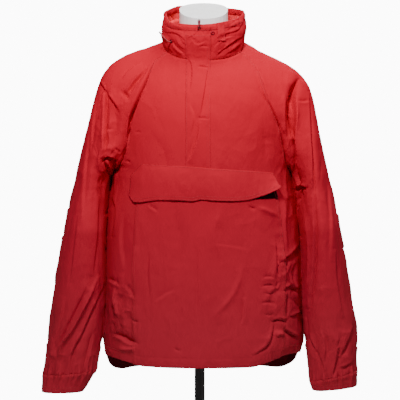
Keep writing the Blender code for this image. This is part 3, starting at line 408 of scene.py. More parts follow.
# Sleeve cap: share of the way up the raglan seam, outermost point, and how full it stands
CAPS = table("""
   s  full swing  left_x left_z right_x right_z
   0   0.3     1  -0.283    0.7    0.29     0.7
 0.2 0.215   0.7 -0.2715  0.754   0.278   0.754
 0.4 0.165   0.4  -0.258   0.81   0.267    0.81
0.55  0.14   0.2  -0.249  0.855    0.26   0.855
0.68 0.125  0.08  -0.237  0.898   0.247   0.896
0.78 0.115     0  -0.225  0.928   0.229   0.922
0.86 0.105     0  -0.203   0.95   0.196   0.939
0.93 0.095     0   -0.16   0.97    0.15   0.959
   1 0.085     0  -0.085  0.986   0.097   0.984
""")

# Sleeve tube below the underarm: outer and inner edge, and half its depth, front to back
TUBES = table("""
  t   deep left_out_x left_out_z left_in_x left_in_z right_out_x right_out_z right_in_x right_in_z
  0  0.075     -0.283        0.7    -0.201     0.685        0.29         0.7      0.205      0.685
0.1 0.0745     -0.291      0.647    -0.213     0.637      0.2985       0.647      0.219      0.637
0.2 0.0735       -0.3      0.594    -0.219     0.588       0.307       0.594     0.2275      0.588
0.4  0.068     -0.318        0.5   -0.2215       0.5      0.3235         0.5      0.233        0.5
0.6   0.06     -0.335      0.406   -0.2225      0.41       0.338       0.406      0.235       0.41
0.8  0.052     -0.349      0.316    -0.228     0.322       0.354       0.318      0.241      0.314
  1  0.042     -0.364      0.226    -0.241     0.236       0.358       0.237      0.251      0.211
""")
CUFF_LEFT = dict(out_x=-0.3680, out_z=0.1850, in_x=-0.2690, in_z=0.1850, deep=0.0340)
CUFF_RIGHT = dict(out_x=0.3590, out_z=0.1990, in_x=0.2570, in_z=0.1880, deep=0.0340)
CUFF_ROWS = 3
TUBE_POWER = 2.1

COLLAR_LEAN = 0.004       # its top edge leans to the front

# Collar: share of its height, how far out it stands, and how its top edge rises round the neck
COLLAR = table("""
   h    out
   0      0
 0.2 0.0035
0.45 0.0055
 0.7 0.0045
   1 -0.001
""")
COLLAR_TOP = table("""
turn     z
-180  1.06
-135 1.068
 -90 1.069
   0 1.053
  40 1.034
  90  1.02
 140 1.028
 180 1.058
""")

# %% [markdown]
# ## Reading a shape from a table
# Each row is one section. A cubic curve through the rows gives the values between them, so a few
# rows are enough for a body that swells and narrows smoothly.

# %% Curves through tables
def clip01(value):
    """Values held between 0 and 1."""
    return np.clip(value, 0.0, 1.0)


def smooth(t):
    """A share from 0 to 1 that starts and ends softly."""
    return t * t * (3.0 - 2.0 * t)


def unit(vectors):
    """Vectors at length 1."""
    return vectors / np.linalg.norm(vectors, axis=-1, keepdims=True)


def hermite(a, b, leave, arrive, t):
    """A cubic curve from a to b with given directions at its ends."""
    return (a * (2 * t**3 - 3 * t**2 + 1) + leave * (t**3 - 2 * t**2 + t)
            + b * (3 * t**2 - 2 * t**3) + arrive * (t**3 - t**2))


def read_table(rows, key, at):
    """The columns of a table at one value of its key, on a smooth curve through its rows."""
    keys = np.array([row[key] for row in rows])
    at = min(max(at, keys[0]), keys[-1])
    i = min(int(np.searchsorted(keys, at, side="right")) - 1, len(keys) - 2)
    span = keys[i + 1] - keys[i]
    low = np.maximum([i - 1, i], 0)
    high = np.minimum([i + 1, i + 2], len(keys) - 1)
    found = {}
    for name in rows[0]:
        values = np.array([row[name] for row in rows])
        leave, arrive = span * (values[high] - values[low]) / (keys[high] - keys[low])
        found[name] = hermite(values[i], values[i + 1], leave, arrive, (at - keys[i]) / span)
    return found


def ring_depth(section, x, side, power):
    """How far a section stands out to the front (-1) or back (+1) at x."""
    share = min(abs(x - section["cx"]) / section["half"], 1.0)
    deep = section["front"] if side < 0 else section["back"]
    return BODY_Y + (side * deep - BODY_Y) * (1.0 - share**power) ** (1.0 / power)


def resample(points, count):
    """Points evenly spaced along a polyline."""
    points = np.asarray(points)
    steps = np.linalg.norm(np.diff(points, axis=0), axis=1)
    along = np.concatenate([[0.0], np.cumsum(steps)])
    wanted = np.linspace(0.0, along[-1], count + 1)
    return np.stack([np.interp(wanted, along, points[:, n]) for n in range(3)], axis=1)


def neck_point(turn):
    """A point of the neckline: 0 is the wearer's left side, a quarter turn the centre front."""
    across = math.cos(turn)
    ahead = math.sin(turn)
    x = NECK_X + NECK_HALF_WIDTH * math.copysign(abs(across) ** NECK_POWER, across)
    deep = NECK_FRONT if ahead > 0 else NECK_BACK
    y = -deep * math.copysign(abs(ahead) ** NECK_POWER, ahead)
    front = NECK_FRONT_DROP * max(ahead, 0.0) ** NECK_FRONT_POWER
    back = NECK_BACK_DROP * max(-ahead, 0.0)
    return np.array([x, y, NECK_SIDE_Z - front - back])

# %% [markdown]
# ## Front and back
# The body is a squared oval in section, half of it for each panel. Rows run from the hem to the
# neck. Below the arm a row ends at the side seam, and above it at the raglan seam.

# %% Body panels
def row_height(row):
    """Height of a row at the side of a body panel, before the hem and neck curves."""
    if row <= ROWS_LOW:
        return HEM_SIDE_Z + (UNDERARM_Z - HEM_SIDE_Z) * row / ROWS_LOW
    return UNDERARM_Z + (RAGLAN[-1]["z"] - UNDERARM_Z) * (row - ROWS_LOW) / ROWS_UP


def body_row(z, stops, side):
    """One row of a front (-1) or back (+1) panel: x runs through the stops, a few steps each."""
    section = read_table(BODY, "z", z)
    lines = []
    for start, end, steps in stops:
        turn = np.linspace(0.0, math.pi / 2, FINE // 2 * steps + 1)
        share = turn / turn[-1]
        if start == stops[0][0]:
            share = 1.0 - np.cos(turn)
        elif end == stops[-1][1]:
            share = np.sin(turn)
        line = [(x, ring_depth(section, x, side, BODY_POWER), z)
                for x in start + (end - start) * share]
        lines.append(resample(line, steps)[1 if lines else 0:])
    return np.concatenate(lines)


def panel_stops(left, right, side):
    """The upright lines that a panel's columns keep to, and the columns between them."""
    if side > 0:
        mid = (left + right) / 2.0
        return [(left, mid, BACK_COLUMNS // 2), (mid, right, BACK_COLUMNS // 2)]
    half = COLUMNS["placket"] // 2
    places = [left, min(left * POUCH_LEFT_SHARE, PLACKET_LEFT - POUCH_CLEAR), PLACKET_LEFT,
              PLACKET_MID, PLACKET_RIGHT,
              max(right * POUCH_RIGHT_SHARE, PLACKET_RIGHT + POUCH_CLEAR), right]
    counts = [COLUMNS["side_left"], COLUMNS["pouch_left"], half, half, COLUMNS["pouch_right"],
              COLUMNS["side_right"]]
    return list(zip(places, places[1:], counts))


def body_panel(side):
    """Rows of outer points, hem to neckline, of the front (-1) or the back (+1)."""
    name = "front" if side < 0 else "back"
    rows = []
    for row in range(ROWS_ALL + 1):
        z = row_height(row)
        section = read_table(BODY, "z", z)
        seam = read_table(RAGLAN, "z", z)
        left, right = seam[name + "_left"], seam[name + "_right"]
        if row <= ROWS_LOW:
            left, right = section["cx"] - section["half"], section["cx"] + section["half"]
        rows.append(body_row(z, panel_stops(left, right, side), side))
    rows = np.array(rows)

    # The hem: level in front, dropped at the back
    drop = FRONT_HEM_DROP if side < 0 else BACK_HEM_DROP
    number = np.arange(rows.shape[1])
    edge = np.minimum(number, number[::-1]) / HEM_CURVE_COLUMNS
    for row in range(ROWS_LOW):
        fade = (1.0 - row / ROWS_LOW) ** HEM_FADE
        rows[row, :, 2] -= drop * fade * np.sin(np.minimum(edge, 1.0) * math.pi / 2)

    # The neckline, eased into the rows below it
    corner = FRONT_CORNER if side < 0 else BACK_CORNER
    start = math.pi - corner if side < 0 else -math.pi - corner
    line = np.array([neck_point(turn) for turn in np.linspace(start, corner, 4 * FINE + 1)])
    line_share = np.maximum.accumulate((line[:, 0] - line[0, 0]) / (line[-1, 0] - line[0, 0]))
    top_x = rows[-1, :, 0]
    share = (top_x - top_x[0]) / (top_x[-1] - top_x[0])
    neck = np.stack([np.interp(share, line_share, line[:, n]) for n in range(3)], axis=1)
    shift = neck - rows[-1]
    for step in range(ROWS_UP + 1):
        rows[ROWS_LOW + step] += shift * (step / ROWS_UP) ** NECK_EASE
    return rows

# %% [markdown]
# ## Sleeves, cuffs and collar
# A raglan sleeve is a tube up to the arm, and a cap above it whose rows leap from the front seam
# over the shoulder to the back seam. They leave each seam in the direction of the panel next to
# it, so the cloth runs on smoothly across the seam.

# %% Sleeves, cuffs and collar
def cap_row(front_point, back_point, front_run, back_run, cap, out):
    """One row over the shoulder, from the front raglan seam to the back one."""
    top = np.array([cap["x"], 0.0, cap["z"]])
    swing, full = cap["swing"], cap["full"]
    leave, arrive = (
        full * unit(swing * np.array([CAP_SPREAD * out, way, 0.0]) + (1.0 - swing) * run)
        for way, run in ((-1.0, front_run), (1.0, back_run)))
    over = np.array([0.0, full, 0.0])
    t = np.linspace(0.0, 1.0, FINE)[:, None]
    front_half = hermite(front_point, top, leave, over, t)
    back_half = hermite(top, back_point, over, -arrive, t)
    return resample(np.concatenate([front_half, back_half[1:]]), SLEEVE_COLUMNS)


def squared(value):
    """A sine or cosine pulled out towards a squarer oval."""
    return math.copysign(abs(value) ** (2 / TUBE_POWER), value)


def tube_row(edge, lead):
    """One closed row of a sleeve or cuff, from its inner seam round the front."""
    inner = np.array([edge["in_x"], lead, edge["in_z"]])
    outer = np.array([edge["out_x"], lead, edge["out_z"]])
    line = []
    for angle in np.linspace(0.0, 2.0 * math.pi, 4 * FINE + 1):
        point = inner + (outer - inner) * (1.0 - squared(math.cos(angle))) / 2
        point[1] -= edge["deep"] * squared(math.sin(angle))
        line.append(point)
    return resample(line, SLEEVE_COLUMNS)


def read_side(rows, key, at, side):
    """A row of a table that holds both sides, with the columns of one of them."""
    return {name.removeprefix(side + "_"): value
            for name, value in read_table(rows, key, at).items()}


def sleeve_panel(front, back, side):
    """Rows of outer points, cuff seam to neckline, round the front to the back."""
    out, column, inner = (-1.0, 0, 1) if side == "left" else (1.0, -1, -2)
    rows = []
    for row in range(ROWS_LOW):
        down = 1.0 - row / ROWS_LOW
        lead = BODY_Y + (SLEEVE_Y - BODY_Y) * smooth(min(down / SLEEVE_Y_SHARE, 1.0))
        rows.append(tube_row(read_side(TUBES, "t", down, side), lead))
    for row in range(ROWS_LOW, ROWS_ALL + 1):
        ends = front[row, column], back[row, column]
        runs = unit(ends[0] - front[row, inner]), unit(ends[1] - back[row, inner])
        cap = read_side(CAPS, "s", (row - ROWS_LOW) / ROWS_UP, side)
        rows.append(cap_row(*ends, *runs, cap, out))
    rows = np.array(rows)

    # The top row follows the neckline
    turns = FRONT_CORNER, BACK_CORNER
    if out < 0:
        turns = math.pi - FRONT_CORNER, math.pi - BACK_CORNER
    line = np.array([neck_point(turn) for turn in np.linspace(*turns, SLEEVE_COLUMNS + 1)])
    line[0], line[-1] = front[-1, column], back[-1, column]
    shift = line - rows[-1]
    for step in range(ROWS_UP + 1):
        rows[ROWS_LOW + step] += shift * (step / ROWS_UP) ** CAP_EASE

    # Its inner points are evened, from just below the underarm up
    low = ROWS_LOW - 2
    for _ in range(SOFTEN_TIMES):
        around = (rows[low:-2, 1:-1] + rows[low + 2:, 1:-1]
                  + rows[low + 1:-1, :-2] + rows[low + 1:-1, 2:]) / 4.0
        rows[low + 1:-1, 1:-1] += (around - rows[low + 1:-1, 1:-1]) / 2.0
    return rows


def cuff_panel(sleeve, edge):
    """A cuff: its top row is the sleeve's bottom row."""
    low = tube_row(edge, SLEEVE_Y)
    return np.array([low + (sleeve[0] - low) * n / CUFF_ROWS for n in range(CUFF_ROWS + 1)])


def neck_line(front, back, left, right, centre):
    """The top edges of the panels in one run round the neck, from the centre front."""
    return np.concatenate([front[-1, centre:], right[-1, 1:], back[-1, ::-1][1:],
                           left[-1, ::-1][1:], front[-1, 1:centre + 1]])


def collar_panel(base):
    """The stand collar: a strip round the neckline that opens at the centre front."""
    deep = np.where(base[:, 1] < 0, NECK_FRONT, NECK_BACK)
    turns = np.arctan2(-base[:, 1] / deep, (base[:, 0] - NECK_X) / NECK_HALF_WIDTH)
    tops = [read_table(COLLAR_TOP, "turn", math.degrees(turn))["z"] for turn in turns]
    away = np.stack([np.cos(turns), -np.sin(turns), 0.0 * turns], axis=1)
    rows = []
    for height in np.linspace(0.0, 1.0, COLLAR_ROWS + 1):
        row = base + away * read_table(COLLAR, "h", height)["out"]
        row[:, 1] -= COLLAR_LEAN * height
        row[:, 2] = base[:, 2] + (tops - base[:, 2]) * height
        rows.append(row)
    return np.array(rows)

# %% [markdown]
# ## From a coarse grid to a fine one
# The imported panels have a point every 25 mm or so, and a crease needs one every 3 mm. The finer
# points are read off a smooth surface through the coarse ones. A tube's rows wrap round, and the
# others end in a ghost point that carries them straight on.

# %% A smooth surface through a grid
def ghosted(rows, loops=0):
    """A grid with one more point on every side; its first `loops` rows are closed rings."""
    before = 2.0 * rows[:, :1] - rows[:, 1:2]
    after = 2.0 * rows[:, -1:] - rows[:, -2:-1]
    before[:loops] = rows[:loops, -2:-1]
    after[:loops] = rows[:loops, 1:2]
    wide = np.concatenate([before, rows, after], axis=1)
    return np.concatenate([2.0 * wide[:1] - wide[1:2], wide, 2.0 * wide[-1:] - wide[-2:-1]])


def surface(grid, row, column):
    """Points of a ghosted grid at fractional rows and columns."""
    cell, weights = [], []
    for place, size in ((row, grid.shape[0]), (column, grid.shape[1])):
        first = np.clip(np.floor(place).astype(int), 0, size - 4)
        t = place - first
        cell.append(first)
        weights.append(((-t + 2.0 * t**2 - t**3) / 2.0,
                        (2.0 - 5.0 * t**2 + 3.0 * t**3) / 2.0,
                        (t + 4.0 * t**2 - 3.0 * t**3) / 2.0,
                        (t**3 - t**2) / 2.0))
    total = 0.0
    for i in range(4):
        for j in range(4):
            weight = (weights[0][i] * weights[1][j])[..., None]
            total = total + weight * grid[cell[0] + i, cell[1] + j]
    return total


NEAR_EDGE = (0.035, 0.10)         # two extra lines of points beside an edge, in coarse steps


def steps(first, last, times):
    """Fractional places from one coarse line to another, closer together at both ends."""
    even = np.linspace(first, last, int(round((last - first) * times)) + 1)
    close = [first + gap for gap in NEAR_EDGE] + [last - gap for gap in NEAR_EDGE]
    return np.unique(np.round(np.concatenate([even, close]), 6))


def crossings(rows, columns):
    """Two grids: the row and the column of every crossing."""
    return np.meshgrid(rows, columns, indexing="ij")


# Fine steps in each coarse one
ROW_TIMES = 11
FRONT_TIMES = 10
BACK_TIMES = 11
SLEEVE_TIMES = 11
COLLAR_TIMES = 10
CUFF_TIMES = 7

FRONT_COUNT = sum(COLUMNS.values())
MIDDLE = COLUMNS["side_left"] + COLUMNS["pouch_left"] + COLUMNS["placket"] // 2
coarse_front, coarse_back = body_panel(-1), body_panel(1)
coarse_left = sleeve_panel(coarse_front, coarse_back, "left")
coarse_right = sleeve_panel(coarse_front, coarse_back, "right")
coarse_neck = neck_line(coarse_front, coarse_back, coarse_left, coarse_right, MIDDLE)

row_places = steps(0, ROWS_ALL, ROW_TIMES)
UNDERARM = int(np.searchsorted(row_places, ROWS_LOW))
front_places = steps(0, FRONT_COUNT, FRONT_TIMES)
back_places = steps(0, BACK_COLUMNS, BACK_TIMES)
sleeve_places = steps(0, SLEEVE_COLUMNS, SLEEVE_TIMES)
cuff_places = steps(0, CUFF_ROWS, CUFF_TIMES)


def patch(rows, row_at, column_at, loops=0):
    """A coarse grid read off at every crossing of fine rows and columns."""
    return surface(ghosted(rows, loops), *crossings(row_at, column_at))


front = patch(coarse_front, row_places, front_places)
back = patch(coarse_back, row_places, back_places)
left = patch(coarse_left, row_places, sleeve_places, ROWS_LOW)
right = patch(coarse_right, row_places, sleeve_places, ROWS_LOW)
cuff_left, cuff_right = (
    patch(cuff_panel(sleeve, edge), cuff_places, sleeve_places, CUFF_ROWS + 1)
    for sleeve, edge in ((coarse_left, CUFF_LEFT), (coarse_right, CUFF_RIGHT)))

# Pieces that meet at a seam have one line of points there
for end, sleeve in ((0, left), (-1, right)):
    back[:UNDERARM + 1, end] = front[:UNDERARM + 1, end]
    sleeve[UNDERARM:, 0] = front[UNDERARM:, end]
    sleeve[UNDERARM:, -1] = back[UNDERARM:, end]
cuff_left[-1] = left[0]
cuff_right[-1] = right[0]
print("front panel:", front.shape[0], "by", front.shape[1], "points")

# %% [markdown]
# ## The collar's fine grid
# The collar's lower edge takes its points from every piece that it is sewn to, in one run round
# the neck. The rows above it ease from that line to the collar's own surface.

# %% Fine collar
COLLAR_EASE_ROWS = 1.5

centre = int(np.searchsorted(front_places, MIDDLE))
runs = [front_places[centre:] - MIDDLE, sleeve_places[1:],
        BACK_COLUMNS - back_places[::-1][1:], SLEEVE_COLUMNS - sleeve_places[::-1][1:],
        front_places[1:centre + 1]]
starts = np.cumsum([0, FRONT_COUNT - MIDDLE, SLEEVE_COLUMNS, BACK_COLUMNS, SLEEVE_COLUMNS])
collar_places = np.concatenate([run + start for run, start in zip(runs, starts)])
collar_rows = steps(0, COLLAR_ROWS, COLLAR_TIMES)
collar = patch(collar_panel(coarse_neck), collar_rows, collar_places)
ease = clip01(1.0 - collar_rows / COLLAR_EASE_ROWS)[:, None, None]
collar = collar + (neck_line(front, back, left, right, centre) - collar[0])[None] * ease
print("collar:", collar.shape[0], "by", collar.shape[1], "points")

# %% [markdown]
# ## Creases, placed one by one
# Worn and folded nylon keeps its creases, and each has its place: the pull of the arms, the slack
# under them, the crumple at the collar. They are drawn in 2.3 mm steps, with half-widths and
# depths in millimetres. A trough is negative. Cloth that sinks on one side of a crease is pushed
# up on the other, and that side is its lip.

# %% Creases of the front
FRONT_CREASES = creases("""
left shoulder and the slack in front of the arm
147,67 139,76 133,83 129,89 125,95 : 4 -7 above
150,68 144,83 138,97 131,115 129,124 128,146 : 4 -9.5
141,62 131,68 122,77 : 8 -1.8 below
121,92 125,94 128,99 : 7 -3.4
99,82 103,87 106,93 : 6 -4 above
106,93 112,101 119,112 : 6 -4.4 right
105,86 104,122 104,162 : 5 -7 left
104,88 100,103 97,118 : 4 -3.2 right
113,104 116,126 114,148 : 20 -3
97,96 93,124 90,152 : 9 -1.8 left
105,128 108,130 113,129 : 4 -2.2 below
105,150 108,141 107,132 : 5 -2 right
128,114 126,130 126,150 123,160 : 6 -3 right
104,161 107,158 111,158 116,161 : 4.5 -7.5 above
116,159 115,169 112,184 : 4 -5.5 right
105,160 108,171 112,181 : 4 -5
107,162 111,171 114,179 : 2.5 3.6
116,148 118,151 121,153 : 4 -2
125,162 127,161 130,163 : 3 -1.6
135,133 138,132 141,133 : 3.5 -0.8
168,172 164,152 150,132 : 22 -0.9
152,96 158,118 168,138 : 22 -0.4
right shoulder
299,79 294,92 291,110 291,130 292,140 : 13 -11
291,138 294,152 294,166 : 8 -7
287,96 286,112 287,132 289,150 291,165 : 4 -3.6 left
299,80 296,96 296,116 294,140 295,154 299,182 : 4 -9 right
289,95 292,101 289,108 292,116 290,124 : 3 1.4
288,128 292,134 291,142 : 3 1.2
292,160 296,176 301,188 : 5 -7 left
296,190 301,186 307,188 : 5 -11 above
301,190 300,196 298,204 : 6 -10
298,101 304,102 309,101 : 4 -2.4 below
289,70 298,76 304,86 : 8 -1.8 below
256,72 264,94 272,107 279,124 286,136 : 5 -2.2 right
232,150 246,132 256,108 : 22 -0.4
262,128 266,146 262,164 : 16 -0.9
right sleeve
309,92 311,130 313,170 314,206 : 4.5 -5.2 left
314,196 315,236 313,276 309,312 : 4.5 -6 left
304,206 309,250 307,300 : 7 2
328,180 331,220 330,262 : 13 -1.8 right
336,250 338,285 344,318 : 10 -2 left
318,138 322,160 320,186 : 10 -1.4
309,334 312,343 316,353 : 5 -4.6 right
353,326 347,342 340,358 : 6 -4.6 left
340,368 346,366 353,361 : 5 -3.6 above
339,346 336,362 332,378 : 5 -4.4 left
322,330 326,346 324,364 : 7 -2.6 left
317,352 322,362 326,376 : 5 -3 right
left sleeve
90,128 85,172 83,226 : 14 -1.8 left
99,196 97,236 93,276 : 10 -2.2 left
78,214 74,246 70,282 : 11 -1.7 right
97,278 84,306 73,328 62,346 57,372 : 6 5.5
103,286 92,311 83,332 73,351 69,373 : 6 -4.6 left
88,286 78,308 66,330 56,350 : 7 -3.2
66,298 60,322 52,350 : 8 -2 left
94,332 90,350 84,370 : 6 -3.2 right
body below the arms, left
150,250 149,274 151,302 : 6 -1.6 right
155,302 165,295 175,290 : 9 -0.9 below
148,205 153,209 158,212 : 5 -1.8 below
108,280 114,282 121,287 : 6 -3 below
115,286 116,304 119,323 : 9 3.4
126,285 130,292 134,300 : 7 -3 left
123,214 121,240 125,270 : 12 -1.8 left
113,336 122,339 128,343 137,344 : 8 -6.5 below
119,350 127,351 136,349 : 13 3.2
131,318 134,321 139,322 : 4 -1.8
112,196 115,212 112,236 : 9 -2.4 right
body below the arms, middle
198,241 197,282 198,324 : 8 -0.9
242,268 237,286 229,300 216,315 : 10 1.7
243,298 244,311 242,325 : 7 -2.2 right
210,244 230,246 250,250 : 8 -0.4 below
249,206 252,208 256,209 : 5 -1.8
257,207 267,211 277,216 : 8 1.8
174,348 177,350 181,351 : 4 -1.2
176,212 181,246 176,284 : 26 -1.6
222,208 214,232 222,262 : 26 1.5
body below the arms, right
284,200 284,228 287,258 : 9 2.8
299,245 291,254 280,262 : 7 -6.5 above
287,292 286,306 286,322 : 7 -3 left
283,290 290,286 294,289 300,286 : 4.5 -5.4 above
290,281 294,287 299,293 : 4 -4 above
279,262 276,270 278,277 : 4 -3.4 left
303,309 297,314 290,317 : 4.5 -4.6 above
296,262 292,272 294,284 : 7 -2.2 left
272,321 279,319 286,321 : 4.5 -5.2 above
274,323 271,336 266,347 253,355 : 5 -4.6 left
275,337 279,335 284,337 : 9 3
284,330 291,336 299,339 : 5.5 -6 above
291,300 298,308 300,320 : 7 -2.2 left
275,238 276,257 275,278 : 3 -3.4 left
263,278 268,277 274,279 : 3.5 -1.9 below
262,286 268,285 275,286 : 3.5 -1.4
264,293 269,294 274,293 : 3.5 -1.3
261,303 268,302 275,304 : 4 -1.5
264,314 269,315 274,314 : 4 -1.3
""")

# %% [markdown]
# ## Creases of the back and of the sides
# Nobody sees the back from the front, but cloth hangs by the same rules there: two slack folds run
# down from the shoulder blades, the arms pull at the raglan seams, and the longer back hem swings
# in shallow flutes. On the sides' drawing the steps run from front to back.

# %% Creases of the back and the sides
BACK_CREASES = creases("""
107,92 117,111 127,134 : 11 -6 right
293,90 284,111 276,134 : 11 -6 left
101,154 110,168 123,190 : 12 -11 above
304,166 296,184 285,205 : 12 -11 above
158,112 166,168 162,238 : 20 -5 left
249,122 239,188 244,258 : 20 -5 right
200,196 205,262 199,336 : 20 5
132,240 137,290 130,350 : 15 -5 left
268,254 264,300 272,356 : 15 -5 right
177,90 199,96 226,89 : 14 -3 below
166,68 198,77 236,67 : 9 -2.4 above
146,146 152,166 147,192 : 12 -2.8 right
261,140 255,162 262,188 : 12 -2.8 left
180,262 176,300 181,346 : 15 -3.4 left
226,268 230,306 222,352 : 15 -3.6 right
114,204 118,232 112,262 : 11 -3.2 right
292,214 287,240 294,270 : 11 -3.2 left
110,330 122,338 136,336 : 9 -4.2 below
262,338 278,332 296,338 : 9 -4 below
150,324 158,344 152,366 : 12 2.8
246,326 242,348 250,368 : 12 2.8
92,262 82,302 70,340 : 10 -4.6 left
326,250 331,296 338,342 : 10 -4.6 right
86,132 84,176 80,222 : 14 -2.4 right
318,128 324,172 326,220 : 14 -2.4 left
60,330 66,342 78,348 : 8 -3 below
322,344 334,338 348,342 : 8 -3 below
103,108 100,128 103,148 : 9 -3.4 left
300,106 304,126 300,148 : 9 -3.4 right
""")
SIDE_CREASES = {
    -1: creases("""
186,104 190,132 183,160 : 12 -3 left
214,112 209,140 215,172 : 12 -3 right
172,196 186,208 206,211 : 11 -3.4 below
205,226 190,236 173,238 : 10 -3 below
176,262 190,284 195,312 : 11 -3.4 right
203,300 196,324 199,348 : 9 -2.8 left
172,330 184,342 198,344 : 8 -3.4 below
"""),
    1: creases("""
188,100 183,130 190,158 : 12 -3 left
212,108 217,138 211,168 : 12 -3 right
208,204 192,214 174,215 : 11 -3.4 below
174,242 189,248 204,244 : 10 -2.8 above
200,262 188,288 184,316 : 11 -3.4 left
178,304 186,326 184,350 : 9 -2.8 right
202,334 190,346 176,347 : 8 -3.4 below
"""),
}
print("creases:", len(FRONT_CREASES), "front,", len(BACK_CREASES), "back,",
      len(SIDE_CREASES[-1]) + len(SIDE_CREASES[1]), "sides")

# %% [markdown]
# ## Creases of the collar
# A soft stand collar never stands smooth. It buckles on a hand's scale where it turns round the
# neck, and gathers along the cord's casing.

# %% Creases of the collar
COLLAR_CREASES = creases("""
left side, from the casing down to the seam
167,17 175,24 182,27 : 3.5 -2.6 below
165,24 170,28 178,31 184,32 : 4 -3 below
164,31 174,33 181,37 185,41 : 4 -4.2 above
157,33 163,36 170,41 : 6 4
166,41 169,49 175,56 : 4 -5 right
170,40 177,49 185,55 : 4 -5.4 left
175,38 179,46 185,50 : 3 -3.4 right
178,35 183,43 186,45 : 3 -2.6 above
under the storm flap's sides
186,39 191,37 196,33 198,29 : 3 -2.2 above
188,45 191,41 195,40 : 3 -1.6 below
206,26 206,29 207,33 : 2.5 -2.2 right
210,26 210,31 211,36 : 2.5 -2.6 left
202,27 202,30 203,34 : 2.5 -1.4
right side, up from the placket
215,41 220,36 230,33 238,30 243,22 : 3.5 -3.6 above
214,48 218,43 225,38 235,36 : 3.5 -4 below
215,58 220,52 228,46 237,40 243,37 : 4 -5 above
217,52 223,49 226,45 : 3 -3 below
222,57 230,52 240,45 : 4 -4.4 above
229,26 236,22 243,20 : 3.5 -2.4 below
226,31 233,27 241,26 : 3 -2.2 above
231,49 235,45 241,42 : 3 -2.6 below
""")
COLLAR_BACK_CREASES = creases("""
168,14 174,26 171,40 : 7 -3.4 right
186,10 189,24 183,40 : 7 -2.6 left
203,9 200,22 205,38 : 7 -2.4 right
221,10 224,24 219,41 : 7 -3 left
238,14 233,26 238,39 : 7 -3.2 left
172,33 196,38 214,34 : 6 -2.8 below
210,27 226,31 242,27 : 6 -2.6 below
162,24 176,20 190,23 : 6 -2.2 above
""")
print("creases of the collar:", len(COLLAR_CREASES) + len(COLLAR_BACK_CREASES))

# %% [markdown]
# ## Pressing the creases into the cloth
# A place's drawing step follows from its point in space, seen with the camera's slight rise. A
# crease with no lip is a soft bell with a sharp line in it. One with a lip is a lapped fold: the
# cloth drops away steeply along the line and levels out gently on both sides, which gives thin
# nylon its fine dark lines. The front's creases count where the cloth faces front, and so on, so
# the drawings blend round the garment.

# %% Crease fields
CREASE_REACH = 4.5                # half-widths, past which a crease has no effect
CREASE_NARROW = 0.70              # nylon folds tighter than the drawing's half-widths
CREASE_GAIN = 2.2
CREASE_SHARP = 0.55               # share of its depth that is a sharp line, not a soft bell
SHARP_WIDE = 0.50                 # half-widths of that line
STEEP_MM = 1.9                    # how far the steep face between trough and lip reaches
GENTLE = 0.85                     # half-widths over which trough and lip level out
LIP_SHARE = 0.55                  # of its depth
SIDE_SHARE = 0.45                 # the side creases are shallower, as they make the outline
CREASE_TAPER = 3.2                # how soon it reaches its depth from an end
END_SHARE = 0.12                  # of its depth, right at the end
ROUTE_FINE = 5                    # steps between two given points of a route
TOWARDS = {"left": (-1, 0), "right": (1, 0), "above": (0, -1), "below": (0, 1)}
STEP_MM = STEP / MM


def elevation(points):
    """Drawing steps of points on the front elevation."""
    height = points[..., 2] - VIEW_CENTRE.z
    ahead = points[..., 1]
    depth = VIEW_DISTANCE + ahead * math.cos(VIEW_RISE) - height * math.sin(VIEW_RISE)
    rise = height * math.cos(VIEW_RISE) + ahead * math.sin(VIEW_RISE)
    scale = VIEW_DISTANCE / depth
    column = STEP_X0 + points[..., 0] * scale / STEP
    row = (STEP_Z0 - VIEW_CENTRE.z - rise * scale) / STEP
    return column, row


def crease_field(column, row, table):
    """The summed rise of a table of creases, in metres, at places of a drawing."""
    total = np.zeros_like(column)
    for crease in table:
        route = np.array(crease["route"])
        places = np.linspace(0.0, len(route) - 1.0, (len(route) - 1) * ROUTE_FINE + 1)
        line = patch(route[:, None].repeat(2, axis=1), places, [0.0])[:, 0]
        wide = CREASE_NARROW * crease["wide"] / STEP_MM
        low, high = line.min(axis=0) - CREASE_REACH * wide, line.max(axis=0) + CREASE_REACH * wide
        near = (column > low[0]) & (column < high[0]) & (row > low[1]) & (row < high[1])
        if not near.any():
            continue
        spot = np.stack([column[near], row[near]], axis=-1)
        nearest = np.full(len(spot), np.inf)
        signed = np.zeros(len(spot))
        along = np.zeros(len(spot))
        lip = np.array(TOWARDS[(crease["lip"] or ["right"])[0]], float)
        for n, (start, end) in enumerate(zip(line, line[1:])):
            run = end - start
            t = clip01((spot - start) @ run / (run @ run))
            gap = spot - start - t[:, None] * run
            away = np.linalg.norm(gap, axis=1)
            across = np.array([-run[1], run[0]])
            across *= np.sign(across @ lip) or 1.0
            closer = away < nearest
            nearest = np.where(closer, away, nearest)
            signed = np.where(closer, away * np.sign(gap @ across), signed)
            along = np.where(closer, (n + t) / (len(line) - 1), along)
        share = signed / wide
        ends = np.minimum(1.0, CREASE_TAPER * np.minimum(along, 1.0 - along) + END_SHARE)
        sharp = np.exp(-nearest / (wide * SHARP_WIDE))
        profile = (1.0 - CREASE_SHARP) * np.exp(-(share**2)) + CREASE_SHARP * sharp
        if crease["lip"]:
            level_out = np.exp(-np.abs(share) * GENTLE - (share / CREASE_REACH) ** 4)
            over = 0.5 + 0.5 * np.tanh(signed * STEP_MM / STEEP_MM)
            profile = level_out * (1.0 - over * (1.0 + LIP_SHARE))
        past = (along <= 0.0) | (along >= 1.0)
        profile = np.where(past, np.exp(-((nearest / wide) ** 2)), profile)
        total[near] += CREASE_GAIN * crease["deep"] * MM * profile * ends
    return total


# %% [markdown]
# ## Unevenness
# Between the creases cloth is never quite smooth. A seeded noise, stretched downwards as cloth
# hangs, gives long soft swells and short ripples, the same on both sides of every seam because it
# depends only on the place.

# %% Noise
NOISE_TABLE = np.random.default_rng(11).uniform(-1.0, 1.0, (24, 24, 24))


